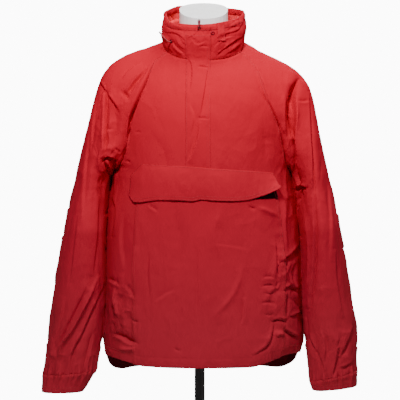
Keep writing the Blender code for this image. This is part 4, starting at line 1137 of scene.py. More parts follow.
def noise(points, scale, shift):
    """Smooth noise between -1 and 1, in lumps of a size along X, Y and Z."""
    place = points / np.array(scale) + shift
    cell = np.floor(place).astype(int)
    t = place - cell
    t = t * t * t * (t * (t * 6.0 - 15.0) + 10.0)
    total = 0.0
    for i in (0, 1):
        for j in (0, 1):
            for k in (0, 1):
                corner = (cell + (i, j, k)) % NOISE_TABLE.shape[0]
                value = NOISE_TABLE[corner[..., 0], corner[..., 1], corner[..., 2]]
                weight = np.abs(1 - i - t[..., 0]) * np.abs(1 - j - t[..., 1])
                total = total + value * weight * np.abs(1 - k - t[..., 2])
    return total


# The lumps of every kind of unevenness: their sizes in millimetres along X, Y and Z, their weight
# beside others of their kind, and their place in the noise
LUMPS = table("""
kind           x   y   z weight shift
swell         75  75 170    1.7   3.1
swell         34  34  75    0.7   7.7
swell         16  16  26   0.18   1.3
patch         45  45  60      1   2.9
bend_x        50  50  50      1     1
bend_y        50  50  50      1     4
bend_z        50  50  50      1     7
broad_ridge   30  30  52      1   5.2
fine_ridge    15  15  24      1   5.2
seam_pucker   11  11  11      1   2.6
seam_pucker   23  23  23    0.6   8.2
hem_wave      21  21 200      1   6.1
hem_gather    30  30 300      1   5.9
collar_gather 50  50 300      1   4.4
collar_bulk   30  30  24    1.4   6.6
collar_bulk   12  12  12    0.7   2.2
pouch_pucker 200 200  13      1   7.1
flap_belly    60  60 200      1   3.3
flap_wave     28  28  50      1   1.9
storm_wave    22  22  40      1   5.5
""")


def lumps(points, kind):
    """The noise of one kind of lumps."""
    return sum(row["weight"] * noise(points, [row[axis] * MM for axis in "xyz"], row["shift"])
               for row in LUMPS if row["kind"] == kind)


def patchy(points, kind, vary):
    """A factor around 1 - vary, which differs from place to place."""
    return 1.0 - vary + vary * lumps(points, kind)


# Where the cloth is crumpled most: places on the drawing, their half-sizes and their strength
CRUMPLED = table("""
  x   y wide high level
104 168   22   40   0.9
300 190   20   44   0.9
116 320   20   46     1
282 300   22   62     1
 62 350   34   44   0.8
336 348   34   36   0.8
 92 300   18   60   0.5
312 290   18   70   0.5
112 110   20   44   0.6
290 118   10   50     1
204  30   70   34     1
""")
CRUMPLE_REST = 0.18               # and everywhere else
CRUMPLE_SHARE = 0.75              # of its strength, give or take the next
CRUMPLE_VARY = 0.5
RIDGES = dict(broad_ridge=3.4 * MM, fine_ridge=1.6 * MM)
RIDGE_BEND = 0.012                # how far noise bends the ridges out of their own grid
RIDGE_NARROW = 2.2
RIDGE_SHARP = 1.4


def crumple(points):
    """How crumpled each place is, from 0 to 1."""
    column, row = elevation(points)
    total = np.full_like(column, CRUMPLE_REST)
    for spot in CRUMPLED:
        over = (column - spot["x"]) / spot["wide"]
        up = (row - spot["y"]) / spot["high"]
        total = np.maximum(total, spot["level"] * np.exp(-(over**2 + up**2)))
    return clip01(total * (CRUMPLE_SHARE + CRUMPLE_VARY * lumps(points, "patch")))


def unevenness(points):
    """Swells everywhere, and sharp ridges where the cloth is crumpled, in metres."""
    bend = np.stack([lumps(points, "bend_" + axis) for axis in "xyz"], axis=-1)
    ridges = 0.0
    for kind, deep in RIDGES.items():
        fold = 1.0 - RIDGE_NARROW * np.abs(lumps(points + RIDGE_BEND * bend, kind))
        ridges = ridges + deep * np.sign(fold) * np.abs(fold) ** RIDGE_SHARP
    return MM * lumps(points, "swell") + crumple(points) * ridges


print("lumps:", len(LUMPS), "sizes in a noise table of", NOISE_TABLE.shape)

# %% [markdown]
# ## Normals, seams and welds
# A crease moves a point along the cloth's normal. Where pieces are sewn together their edge points
# must share one normal and end in one place, or a slit opens. The helpers below find edge points
# of different pieces that lie on each other, and give each group the mean of its values.

# %% Seams
SEAM_FINE = 2e4                   # points within a twentieth of a millimetre are one


def grid_normals(rows, rings=0):
    """Unit normals pointing out of the garment; the first `rings` rows are closed."""
    along = np.gradient(rows, axis=1)
    along[:rings, 0] = rows[:rings, 1] - rows[:rings, -2]
    along[:rings, -1] = along[:rings, 0]
    normals = np.cross(along, np.gradient(rows, axis=0))
    return normals / np.maximum(np.linalg.norm(normals, axis=2, keepdims=True), 1e-12)


def seam_groups(grids):
    """Edge points of the grids that lie on each other, as lists of (grid, row, column)."""
    found = {}
    for name, rows in grids.items():
        high, wide = rows.shape[:2]
        places = {(r, c) for r in range(high) for c in (0, wide - 1)}
        places |= {(r, c) for r in (0, high - 1) for c in range(wide)}
        for row, column in sorted(places):
            key = tuple(np.round(rows[row, column] * SEAM_FINE).astype(int))
            found.setdefault(key, []).append((name, row, column))
    return [group for group in found.values() if len(group) > 1]


def share(values, groups, unit=False):
    """Gives all points of a group the mean of their values."""
    for group in groups:
        mean = sum(values[name][row, column] for name, row, column in group) / len(group)
        size = np.linalg.norm(mean)
        if unit:
            mean = mean / size if size > 0.1 else np.array([0.0, 0.0, -1.0])
        for name, row, column in group:
            values[name][row, column] = mean


GRIDS = {
    "front_panel": front,
    "back_panel": back[:, ::-1].copy(),
    "sleeve_left": left[:, ::-1].copy(),
    "sleeve_right": right,
    "cuff_left": cuff_left[:, ::-1].copy(),
    "cuff_right": cuff_right,
    "collar": collar,
}
RINGS = dict(sleeve_left=UNDERARM, sleeve_right=UNDERARM, cuff_left=len(cuff_places),
             cuff_right=len(cuff_places))    # rows of each tube that are closed


def edge_distances(rows):
    """How far each point is from the bottom, top, first and last edge, along the cloth."""
    up, over = (np.cumsum(np.linalg.norm(np.diff(rows, axis=axis, prepend=np.take(
        rows, [0], axis=axis)), axis=2), axis=axis) for axis in (0, 1))
    return dict(bottom=up, top=up[-1:] - up, first=over, last=over[:, -1:] - over)


# The solid's sleeves are pinched beside the armpit. Cloth hangs straight in front of the pinch.
PINCH_HEIGHTS = (0.560, 0.750)
PINCH_SHARE = 0.8
PINCH_SEAM_FADE = 0.045


def hang_over(rows, closed):
    """Moves a sleeve's front out to a straight line between two heights."""
    nearest = rows[..., 1].argmin(axis=1)
    _, front_line, height = rows[np.arange(len(rows)), nearest].T
    ends = [np.interp(z, height, front_line) for z in PINCH_HEIGHTS]
    straight = np.interp(height, PINCH_HEIGHTS, ends)
    inside = (height > PINCH_HEIGHTS[0]) & (height < PINCH_HEIGHTS[1])
    gap = PINCH_SHARE * np.where(inside, np.minimum(straight - front_line, 0.0), 0.0)
    away = edge_distances(rows)
    seam = clip01(np.minimum(away["first"], away["last"]) / PINCH_SEAM_FADE)
    seam[:closed] = 1.0
    moved = rows.copy()
    moved[..., 1] += gap[:, None] * clip01(-grid_normals(rows, closed)[..., 1]) * seam
    return moved


for name in ("sleeve_left", "sleeve_right"):
    GRIDS[name] = hang_over(GRIDS[name], UNDERARM)
GROUPS = seam_groups(GRIDS)
NORMALS = {name: grid_normals(rows, RINGS.get(name, 0)) for name, rows in GRIDS.items()}
share(NORMALS, GROUPS, unit=True)
print("points on seams:", len(GROUPS))

# %% [markdown]
# ## Gathers and seam relief
# A seam is thicker than the cloth beside it: the line itself sinks, and a flat ridge about 9 mm
# wide runs beside it over the allowances. The stitches draw the cloth up, which leaves short
# puckers that fade within two centimetres. The cuffs and the collar's casing are gathered, with
# waves across the band.

# %% Seam relief
SEAM_SINK = 1.1 * MM
SEAM_SINK_WIDE = 1.7 * MM
SEAM_RIDGE = 0.75 * MM
SEAM_RIDGE_OFF = 5.5 * MM
SEAM_RIDGE_WIDE = 3.2 * MM
SEAM_PUCKER = 0.8 * MM
SEAM_PUCKER_FADE = 13.0 * MM


def seam_relief(points, distance, ridge):
    """Rise beside a seam, as a function of the distance from it."""
    sink = -SEAM_SINK * np.exp(-((distance / SEAM_SINK_WIDE) ** 2))
    band = SEAM_RIDGE * np.exp(-(((distance - SEAM_RIDGE_OFF) / SEAM_RIDGE_WIDE) ** 4))
    waves = SEAM_PUCKER * lumps(points, "seam_pucker") * np.exp(-distance / SEAM_PUCKER_FADE)
    return sink + ridge * band + waves


# The edges of each piece that are sewn, and how high the ridge beside them stands
PANEL_EDGES = dict(first=1.0, last=1.0, top=0.6)
SLEEVE_EDGES = dict(first=0.0, last=0.0, top=0.6, bottom=0.0)
SEAM_EDGES = dict(
    front_panel=PANEL_EDGES, back_panel=PANEL_EDGES, sleeve_left=SLEEVE_EDGES,
    sleeve_right=SLEEVE_EDGES, cuff_left=dict(top=0.6), cuff_right=dict(top=0.6),
    collar=dict(bottom=0.0))

# Turned hems: the band's height, how far its stitch line sinks, and the roll of the edge
HEM_BAND = 0.021
HEM_SINK = 0.35 * MM
HEM_SINK_WIDE = 2.0 * MM
HEM_ROLL = 1.6 * MM
HEM_ROLL_WIDE = 5.0 * MM
HEM_WAVE = 1.5 * MM
HEM_WAVE_FADE = 0.030


def hem_relief(points, distance):
    """A turned hem: sunk along its stitch line, rolled in at the edge, and wavy."""
    sink = -HEM_SINK * np.exp(-(((distance - HEM_BAND) / HEM_SINK_WIDE) ** 2))
    roll = -HEM_ROLL * np.exp(-distance / HEM_ROLL_WIDE)
    wave = lumps(points, "hem_wave") * np.exp(-distance / HEM_WAVE_FADE)
    return sink + roll + HEM_WAVE * wave


# The elastic in the front hem draws its two corners up, so the longer back hem shows there
HEM_DRAWN = [
    dict(start=250, end=299, up=17.0 * MM, lean=1.7),
    dict(start=143, end=103, up=8.0 * MM, lean=1.3),
]
BACK_HEM_DRAWN = dict(start=268, end=300, up=11.0 * MM, lean=2.2)
HEM_DRAWN_FADE = 0.11
HEM_DRAWN_STEEP = 0.45
HEM_DRAWN_EASE = 1.5
HEM_GATHER = 1.1 * MM
HEM_GATHER_FROM = 46.0            # drawing steps from the middle, and over how many it sets in
HEM_GATHER_OVER = 12.0
HEM_GATHER_WAVE = 0.0085
HEM_GATHER_FADE = 0.024
HEM_GATHER_VARY = 0.4


def hem_drawn(column, distance, row):
    """How far one corner of a hem is drawn up, in metres."""
    t = clip01((column - row["start"]) / (row["end"] - row["start"]))
    peak = row["lean"] / (row["lean"] + HEM_DRAWN_STEEP)
    bump, top = (at ** row["lean"] * (1.0 - at) ** HEM_DRAWN_STEEP for at in (t, peak))
    return row["up"] * bump / top * clip01(1.0 - distance / HEM_DRAWN_FADE) ** HEM_DRAWN_EASE


# Gathers at the cuffs, drawn in by a short elastic: their number round the tube and their height
GATHER_COUNT = 23
GATHER_DEEP = 3.0 * MM
GATHER_FADE = 0.014
GATHER_HARMONICS = (0.6, 1.0, 1.45)
GATHER_SHARES = (0.4, 0.8)
GATHER_SEED = 5


def gathers(rows, distance):
    """Uneven waves round a tube that fade away from its seam."""
    turn = np.linspace(0.0, 1.0, rows.shape[1])
    rng = np.random.default_rng(GATHER_SEED)
    wave = np.zeros_like(turn)
    for harmonic in GATHER_HARMONICS:
        count = round(GATHER_COUNT * harmonic)
        wave += rng.uniform(*GATHER_SHARES) * np.sin(2.0 * math.pi * (count * turn + rng.uniform()))
    return GATHER_DEEP * wave[None, :] * np.exp(-distance / GATHER_FADE)


# %% [markdown]
# ## The creased panels
# Each grid is moved once along its normals by the sum of all this. The collar is bulkier, because
# it is lined, and has creases of its own above its seam.

# %% Press the creases in
FACING_GAIN = 2.4
SIDE_MIDDLE = 200.0               # the drawing step of the side seam on a side's drawing
SLACK = dict(row=258.0, size=88.0, deep=6.0 * MM)
COLLAR_FACING_GAIN = 2.0
COLLAR_FACING = 0.35
COLLAR_SEAM_SHARE = 0.22          # of its height, where the body's creases fade out
COLLAR_GATHERS = 46
COLLAR_GATHER_DEEP = 0.9 * MM
COLLAR_GATHER_FADE = 0.30         # of its height
COLLAR_GATHER_VARY = 0.45
COLLAR_GATHER_SHIFT = 0.012       # how far the gathers stray, as a share of the collar's length
COLLAR_GATHER_BEATS = 9.0
COLLAR_DEEP = 0.54                # of the depths in the collar's table
COLLAR_DROOP = dict(from_x=-0.050, over=0.036, deep=7.0 * MM, inward=0.5)
CUFF_HEM_SHARE = 0.7


def facing(normals, gain=FACING_GAIN, bias=0.0):
    """How much of each point faces front, back and to the side, from 0 to 1."""
    ahead, behind = (clip01(way * normals[..., 1] * gain + bias) for way in (-1, 1))
    both = np.maximum(ahead + behind, 1.0)
    return ahead / both, behind / both, 1.0 - np.minimum(ahead + behind, 1.0)


def body_rise(points, normals):
    """The creases of the body's three drawings, where each one counts."""
    ahead, behind, aside = facing(normals)
    column, row = elevation(points)
    rise = ahead * crease_field(column, row, FRONT_CREASES)
    rise += behind * crease_field(column, row, BACK_CREASES)
    for side, table in SIDE_CREASES.items():
        here = aside * (np.sign(normals[..., 0]) == side)
        rise += SIDE_SHARE * here * crease_field(SIDE_MIDDLE + points[..., 1] / STEP, row, table)
    # The slack under the arms fills the room between the sleeves and the body
    full = np.exp(-(((row - SLACK["row"]) / SLACK["size"]) ** 4))
    return rise + unevenness(points) + aside * full * SLACK["deep"]


def collar_rise(points, normals, height):
    """The collar's own creases, and its gathers along the casing."""
    ahead, behind, _ = facing(normals, gain=COLLAR_FACING_GAIN, bias=COLLAR_FACING)
    column, row = elevation(points)
    rise = COLLAR_DEEP * ahead * crease_field(column, row, COLLAR_CREASES)
    rise += behind * crease_field(column, row, COLLAR_BACK_CREASES)
    turn = np.linspace(0.0, 1.0, points.shape[1])[None, :]
    stray = COLLAR_GATHER_SHIFT * np.sin(COLLAR_GATHER_BEATS * turn * math.pi)
    wave = np.sin(2.0 * math.pi * COLLAR_GATHERS * (turn + stray))
    bunch = patchy(points, "collar_gather", COLLAR_GATHER_VARY)
    near_top = np.exp(-(((1.0 - height) / COLLAR_GATHER_FADE) ** 2))
    bulk = MM * lumps(points, "collar_bulk")
    return rise + COLLAR_GATHER_DEEP * wave * bunch * near_top + bulk


CREASED = {}
for name, rows in GRIDS.items():
    away = edge_distances(rows)
    rise = body_rise(rows, NORMALS[name])
    column, _ = elevation(rows)
    moved = np.zeros_like(rows)
    if name == "collar":
        height = np.repeat((collar_rows / COLLAR_ROWS)[:, None], rows.shape[1], axis=1)
        own = clip01(height / COLLAR_SEAM_SHARE)
        rise = (1.0 - own) * rise + own * collar_rise(rows, NORMALS[name], height)
        # The collar droops where it turns round the neck on the left
        beyond = smooth(clip01((COLLAR_DROOP["from_x"] - rows[..., 0]) / COLLAR_DROOP["over"]))
        moved[..., 2] = -COLLAR_DROOP["deep"] * beyond * height**2
        moved[..., 0] = -COLLAR_DROOP["inward"] * moved[..., 2]
    for edge, ridge in SEAM_EDGES[name].items():
        rise += seam_relief(rows, away[edge], ridge)
    if name.endswith("panel"):
        drawn = HEM_DRAWN if name == "front_panel" else [BACK_HEM_DRAWN]
        rise += hem_relief(rows, away["bottom"])
        moved[..., 2] = sum(hem_drawn(column, away["bottom"], row) for row in drawn)
    if name == "front_panel":
        near = clip01((np.abs(column - STEP_X0) - HEM_GATHER_FROM) / HEM_GATHER_OVER)
        bunch = patchy(rows, "hem_gather", HEM_GATHER_VARY)
        rise += (HEM_GATHER * near * bunch * np.exp(-away["bottom"] / HEM_GATHER_FADE)
                 * np.sin(2.0 * math.pi * away["first"] / HEM_GATHER_WAVE))
    if name.startswith("cuff"):
        rise += CUFF_HEM_SHARE * hem_relief(rows, away["bottom"]) + gathers(rows, away["top"])
    if name.startswith("sleeve"):
        rise += gathers(rows, away["bottom"])
    CREASED[name] = rows + NORMALS[name] * rise[..., None] + moved
share(CREASED, GROUPS)
OUTWARD = {name: grid_normals(rows, RINGS.get(name, 0)) for name, rows in CREASED.items()}
share(OUTWARD, GROUPS, unit=True)
print("creased:", ", ".join(CREASED))

# %% [markdown]
# ## From grids to cloth
# A grid becomes a mesh of quads with a UV map in metres. Shell cloth is a fraction of a millimetre
# thick, so one surface carries it, and a Solidify modifier turns every edge in by the thickness of
# the hem there; where a piece's inside is painted darker as shade or brighter as light, it makes a
# whole second surface. The two edges of a tube that lie on each other are merged first.

# %% Cloth pieces
SHELL_THICK = 0.8 * MM
COLLAR_THICK = 2.4 * MM
WELD = 0.02 * MM


def finished(name, bm, *materials):
    """A mesh in work as a smooth mesh with its materials."""
    mesh = bpy.data.meshes.new(name)
    bm.to_mesh(mesh)
    bm.free()
    for material in materials:
        mesh.materials.append(material)
    mesh.shade_smooth()
    return mesh


def grid_mesh(name, rows, material, merge=False):
    """A mesh of quads over a grid of points, with its grain as a UV map in metres."""
    high, wide = rows.shape[:2]
    index = np.arange(high * wide).reshape(high, wide)
    faces = np.stack([index[:-1, :-1], index[:-1, 1:], index[1:, 1:], index[1:, :-1]], axis=-1)
    faces = faces.reshape(-1, 4)
    mesh = bpy.data.meshes.new("grid")
    mesh.from_pydata(rows.reshape(-1, 3).tolist(), [], faces.tolist())
    away = edge_distances(rows)
    grain = np.stack([away["first"] - away["last"], away["bottom"]], axis=-1).reshape(-1, 2)
    grain[:, 0] /= 2.0
    layer = mesh.uv_layers.new(name="grain")
    layer.data.foreach_set("uv", grain[faces.reshape(-1)].astype(np.float32).reshape(-1))
    worn = mesh.attributes.new("crumple", "FLOAT", "POINT")
    worn.data.foreach_set("value", crumple(rows).astype(np.float32).reshape(-1))
    bm = bmesh.new()
    bm.from_mesh(mesh)
    if merge:
        bmesh.ops.remove_doubles(bm, verts=bm.verts, dist=WELD)
    return finished(name, bm, material)


def put(name, mesh, body="root", replaced=()):
    """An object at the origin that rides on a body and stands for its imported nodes."""
    made = add_object(name, mesh)
    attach(made, body)
    if replaced:
        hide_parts(*replaced)
    return made


def cloth(name, rows, replaced, material=SHELL, thick=SHELL_THICK,
          merge=False, inside=None):
    """A sheet of cloth; one whose inside is painted darker as shade or brighter as light gets a
    second surface.
    """
    made = put(name, grid_mesh(name, rows, material, merge), replaced=replaced)
    wall = made.modifiers.new("cloth", "SOLIDIFY")
    wall.thickness = thick
    wall.offset = -1.0
    wall.use_rim_only = not inside
    # An inside painted darker as shade or brighter as light gets a whole second surface
    if inside:
        made.data.materials.append(inside)
        wall.material_offset = 1
    return made


for name, rows in CREASED.items():
    thick = COLLAR_THICK if name == "collar" else SHELL_THICK
    # The back panel's inside is painted dark, as shade, and the collar's inside bright, as light
    inside = {"back_panel": SHELL_INSIDE_SHADE, "collar": SHELL_INSIDE_LIT}.get(name)
    cloth("cloth_" + name, rows, (name,), thick=thick, merge=name in RINGS,
          inside=inside)

# %% [markdown]
# ## Pieces sewn on top
# The pouch, its flap, the storm flap, the casing and the strap each lie on another piece. Their
# points are read off its creased surface and moved out along its normals, so they share its folds
# and never cut into it. A sewn edge lies flat on the panel, and a free one stands off.

# %% Reading points off a creased piece
PLACES = {
    "front_panel": (row_places, front_places),
    "collar": (collar_rows, collar_places),
}
FINE_GRIDS = {name: ghosted(CREASED[name]) for name in PLACES}
FINE_NORMALS = {name: ghosted(OUTWARD[name]) for name in PLACES}


def lay_on(name, row, column):
    """Points and normals of a creased piece at coarse rows and columns."""
    row_at, column_at = PLACES[name]
    fine_row = np.interp(row, row_at, np.arange(len(row_at)))
    fine_column = np.interp(column, column_at, np.arange(len(column_at)))
    normals = unit(surface(FINE_NORMALS[name], fine_row, fine_column))
    return surface(FINE_GRIDS[name], fine_row, fine_column), normals


def evened(values, times):
    """A grid whose inner points are drawn towards their neighbours' mean."""
    values = values.copy()
    for _ in range(times):
        around = (values[:-2, 1:-1] + values[2:, 1:-1] + values[1:-1, :-2] + values[1:-1, 2:])
        values[1:-1, 1:-1] = (values[1:-1, 1:-1] + around / 4.0) / 2.0
    return values


def bridged(points, normals, times):
    """Cloth too stiff to follow every crease under it: evened, but never inside them."""
    even = evened(points, times)
    sunk = np.sum((even - points) * normals, axis=2, keepdims=True)
    return even + normals * np.maximum(-sunk, 0.0)


def sewn_edge(distance, full, edge=0.5, wide=2.5):
    """Lift from a sewn edge, where it is `edge`, to its full height; both in millimetres."""
    return edge * MM + (full - edge * MM) * (1.0 - np.exp(-distance / (wide * MM)))


# %% [markdown]
# ## The pouch
# A wide pouch covers the lower front. It is sewn in at the hem and down both sides, apart from
# an opening for the hand on each side, and its top lies under the flap. The right side's
# stitching puckers the cloth, and its opening gapes a little.

# %% Pouch
POUCH_LIFT = 2.0 * MM
POUCH_THICK = 1.0 * MM
POUCH_UNDER_FLAP = 0.2            # of a coarse row, which the pouch ends below its top line
HAND_OPENING = dict(middle=8.4, half=1.8, gape=5.0 * MM, fade=0.020)    # in coarse rows
GAPE_SHARES = dict(first=0.55, last=1.0)
POUCH_PUCKER = 1.2 * MM
POUCH_PUCKER_FADE = 0.018
POUCH_PUCKER_RANGE = (-0.3, 1.0)
# Where the painted shadow under the flap's corner begins, on the drawing
POUCH_MOUTH = dict(column=243, row=199.2)

pouch_rows, pouch_columns = crossings(
    steps(0, POUCH_TOP_ROW - POUCH_UNDER_FLAP, ROW_TIMES),
    steps(COLUMNS["side_left"], FRONT_COUNT - COLUMNS["side_right"], FRONT_TIMES))
pouch, pouch_out = lay_on("front_panel", pouch_rows, pouch_columns)
away = edge_distances(pouch)
lift = np.minimum(sewn_edge(away["first"], POUCH_LIFT), sewn_edge(away["last"], POUCH_LIFT))
open_here = clip01(1.0 - ((pouch_rows - HAND_OPENING["middle"]) / HAND_OPENING["half"]) ** 2)
for side, gape in GAPE_SHARES.items():
    lift += gape * HAND_OPENING["gape"] * open_here * np.exp(-away[side] / HAND_OPENING["fade"])
    drawn = lumps(pouch, "pouch_pucker") * np.exp(-away[side] / POUCH_PUCKER_FADE)
    lift += POUCH_PUCKER * np.clip(drawn, *POUCH_PUCKER_RANGE) * (1.0 - open_here)
pouch = pouch + pouch_out * lift[..., None]
pouch_made = cloth("cloth_pouch", pouch, ("pouch_pocket",), thick=POUCH_THICK)

# Under the lifted corner of the flap, the pouch's faces past its mouth's corner get a near-black
# copy of the cloth: painted shadow where the flap shades them
pouch_made.data.materials.append(POUCH_MOUTH_SHADOW)
column, row = elevation((pouch[1:, 1:] + pouch[:-1, :-1]) / 2.0)
# These faces take the painted shadow
mouth = (column > POUCH_MOUTH["column"]) & (row < POUCH_MOUTH["row"])
pouch_made.data.polygons.foreach_set("material_index", mouth.astype(np.int32).reshape(-1))
print("faces of the pouch's mouth:", int(mouth.sum()))

# %% [markdown]
# ## The pocket flap
# The flap hangs over the pouch's mouth. Its lower edge is not straight: it rises towards the
# right, where the corner has curled up and away from the pouch. Both edges are drawn by a short
# table of heights along the flap's width.

# %% Pocket flap
FLAP_LIFT = 6.0 * MM
FLAP_THICK = 1.6 * MM
FLAP_FIRST = 3.3
FLAP_LAST = 19.9
FLAP_EDGE = table("""
place   low  high
    0 14.36 17.25
0.034  13.8 17.22
 0.12  13.9 17.16
 0.18 14.02 17.12
0.296 14.05 17.05
  0.4 13.98 16.98
0.493 14.12  16.9
0.647    14 16.76
0.764    14 16.62
0.834 14.14 16.54
0.939  14.6  16.4
    1 14.98  16.3
""")
FLAP_TOP_SEWN = dict(edge=0.4, wide=40.0)
FLAP_SIDE_SEWN = dict(edge=0.25, wide=34.0)
FLAP_SIDE_FREE = 2.0 * MM         # how far its lower corner stands off at the left
FLAP_BURY = dict(deep=0.7 * MM, column=190.0, over=20.0, fade=8.0 * MM)
FLAP_OVER_ZIP = dict(deep=1.4 * MM, column=198.0, half=13.0, fade=12.0 * MM)
FLAP_CORNER = 0.84                # share of its width, past which the corner curls
FLAP_CURL = 17.0 * MM
FLAP_CURL_RISE = 1.1
FLAP_BELLY = 1.8 * MM
FLAP_BELLY_VARY = 0.4
FLAP_WAVE = 0.9 * MM
FLAP_EVEN = 6

flap_share, flap_place = crossings(steps(0, 1, 40), steps(0, 1, 130))
low, high = (np.array([read_table(FLAP_EDGE, "place", place)[edge] for place in flap_place[0]])
             for edge in ("low", "high"))
flap, flap_out = lay_on("front_panel", low + (high - low) * flap_share,
                        FLAP_FIRST + (FLAP_LAST - FLAP_FIRST) * flap_place)
hang = 1.0 - flap_share
away = edge_distances(flap)
flap = bridged(flap, flap_out, FLAP_EVEN)
column, row = elevation(flap)
lift = np.minimum(
    sewn_edge(away["top"], FLAP_LIFT, **FLAP_TOP_SEWN),
    sewn_edge(away["first"], FLAP_LIFT, **FLAP_SIDE_SEWN) + FLAP_SIDE_FREE * hang**4)
buried = clip01((FLAP_BURY["column"] - column) / FLAP_BURY["over"])
buried *= np.exp(-np.minimum(away["top"], away["first"]) / FLAP_BURY["fade"]) * (1.0 - hang**4)
over_zip = np.exp(-(((column - FLAP_OVER_ZIP["column"]) / FLAP_OVER_ZIP["half"]) ** 4)
                  - away["top"] / FLAP_OVER_ZIP["fade"])
belly = np.sin(math.pi * hang) * patchy(flap, "flap_belly", FLAP_BELLY_VARY)
corner = clip01((flap_place - FLAP_CORNER) / (1.0 - FLAP_CORNER))
lift += FLAP_OVER_ZIP["deep"] * over_zip - FLAP_BURY["deep"] * buried + FLAP_BELLY * belly
lift += FLAP_CURL * corner**FLAP_CURL_RISE * hang**2
lift += FLAP_WAVE * hang * lumps(flap, "flap_wave")
flap = flap + flap_out * lift[..., None]
cloth("cloth_pocket_flap", flap, ("pocket_flap",), thick=FLAP_THICK)
print("flap", round(float(flap[..., 0].max() - flap[..., 0].min()), 3), "m wide")

# %% [markdown]
# ## The storm flap
# A double strip of cloth covers the zip from the pocket flap up over the collar. It is stiffer
# than the shell, so it bridges the seam under it and keeps only the broad creases. Its points
# come from the front and then from both sides of the collar's opening.

# %% Storm flap
STORM_LIFT = 2.4 * MM
STORM_THICK = 1.6 * MM
STORM_BOTTOM = 0.3                # coarse rows: this far under the pocket flap's top line,
STORM_COLLAR = (0.25, 4.3)        # and from and to here on the collar
STORM_FREE = 76.0                 # drawing step above which its right edge stands free
STORM_FREE_OVER = 20.0
STORM_WAVE = 0.5 * MM
STORM_SEWN = dict(first=(0.4, 5.0), bottom=(0.2, 14.0))      # the last two of sewn_edge
STORM_RIGHT = ((0.35, 1.10), (11.5, 2.5))                    # the same, where sewn and where free
STORM_BRIDGE = 160                # rounds of evening, which carry it over the collar's seam
STORM_FOLDS = creases("""
208,66 206,83 203,101 200,117 : 9 -2.3 left
199,122 197,137 193,150 188,162 : 9 -2.3 right
198,67 203,67 209,68 : 3.5 -1.5
198,118 203,118 209,119 : 3 -1.2
199,47 204,46 209,47 : 3 -1.1
188,56 192,70 190,92 : 8 -1.2 right
190,104 194,118 191,136 : 9 -1.2 left
191,38 197,44 206,41 : 5 -1.2 below
""")

half = COLUMNS["placket"] / 2.0
strip = steps(-half, half, 11)
below, below_out = lay_on("front_panel", *crossings(
    steps(FLAP_TOP_ROW - STORM_BOTTOM, ROWS_ALL, ROW_TIMES), MIDDLE + strip))
above, above_out = lay_on("collar", *crossings(
    steps(*STORM_COLLAR, COLLAR_TIMES), np.where(strip < 0.0, collar_places[-1] + strip, strip)))
storm_out = np.concatenate([below_out, above_out])
storm = bridged(np.concatenate([below, above]), storm_out, STORM_BRIDGE)
storm_out = unit(evened(storm_out, STORM_BRIDGE))
away = edge_distances(storm)
column, row = elevation(storm)
free = clip01((STORM_FREE - row) / STORM_FREE_OVER)
edges = dict(STORM_SEWN, last=[held + (loose - held) * free for held, loose in STORM_RIGHT])
lift = np.min([sewn_edge(away[side], STORM_LIFT, *how) for side, how in edges.items()], axis=0)
lift += crease_field(column, row, STORM_FOLDS)
lift += STORM_WAVE * lumps(storm, "storm_wave")
storm = storm + storm_out * lift[..., None]
cloth("cloth_storm_flap", storm, ("storm_flap",), thick=STORM_THICK)

# %% [markdown]
# ## Casing and strap of the collar
# The collar's top edge is folded over a drawcord. The band runs up the outside, over the edge and
# down the inside, and the cord in it makes it round. A short strap stands on it near the zip.

# %% Casing and strap
CASING_LIFT = 1.1 * MM
CASING_CORD = 0.8 * MM
CASING_OVER = 1.6 * MM
CASING_RISE = 8.0                 # how soon the band reaches its lift from its sewn edge,
CASING_LOW = 0.25                 # where it has this share of it
CASING_STITCHED = 0.12            # of its height, below the cord
STRAP_LIFT = 3.4 * MM
STRAP_EVEN = 6

casing_rows, casing_columns = crossings(steps(COLLAR_ROWS - 1, COLLAR_ROWS, 9), collar_places)
band, band_out = lay_on("collar", casing_rows, casing_columns)
up_share = casing_rows - (COLLAR_ROWS - 1)
lift = CASING_LIFT * np.clip(up_share * CASING_RISE, CASING_LOW, 1.0)
past = clip01((up_share - CASING_STITCHED) / (1.0 - CASING_STITCHED))
lift += CASING_CORD * np.sin(math.pi * past) ** 2
outside = band + band_out * lift[..., None]
inside = band - band_out * (lift[..., None] + COLLAR_THICK)
over = (outside[-1:] + inside[-1:]) / 2.0 + np.array([0.0, 0.0, CASING_OVER])
casing = np.concatenate([outside, over, inside[::-1]])
cloth("cloth_drawcord_casing", casing, ("drawcord_casing",), material=SHELL_BAND)

strap, strap_out = lay_on("collar", *crossings(steps(*STRAP_ROWS, 9), steps(*STRAP_COLUMNS, 12)))
strap = evened(strap, STRAP_EVEN) + strap_out * STRAP_LIFT
cloth("cloth_collar_strap", strap, ("collar_strap",), material=SHELL_BAND,
      thick=SHELL_THICK * 2)

# %% [markdown]
# ## Finishes of the hard parts and the thread
# The dress form is moulded and sprayed white, with a faint orange peel. Its pole and base are
# powder-coated black, which is a little rougher. The eyelets are brass with a worn red enamel,
# the slider is painted die-cast zinc, and the pull is moulded nylon with a rubber tip. Each of
# them varies a little in colour on a scale of some millimetres, and in roughness on a finer one.

# %% Other finishes
COLOUR_GRAINS = 12                # the colour's patches are this many grains wide
WORN_SMOOTH = 0.85                # how far the roughness varies
WORN_ROUGH = 1.2


def speckled(name, light, deep, grain, depth, strength, **sockets):
    """A hard finish whose colour, roughness and relief vary with noise; sizes in mm."""
    made, tree, shader = new_material(name, **sockets)
    spot = node(tree, "TexCoord").outputs["Object"]
    wide = clouds(tree, spot, COLOUR_GRAINS * grain, 4.0)
    fine = clouds(tree, spot, grain, 2.0)
    roughness = sockets["Roughness"]
    rough = node(tree, "MapRange", {"To Min": roughness * WORN_SMOOTH,
                                    "To Max": roughness * WORN_ROUGH}, {"Value": fine})
    bump = node(tree, "Bump", {"Strength": strength, "Distance": depth * MM}, {"Height": fine})
    feed(tree, shader, {"Base Color": ramp_node(tree, wide, [(0.32, deep), (0.68, light)]),
                        "Roughness": rough, "Normal": bump})
    return made


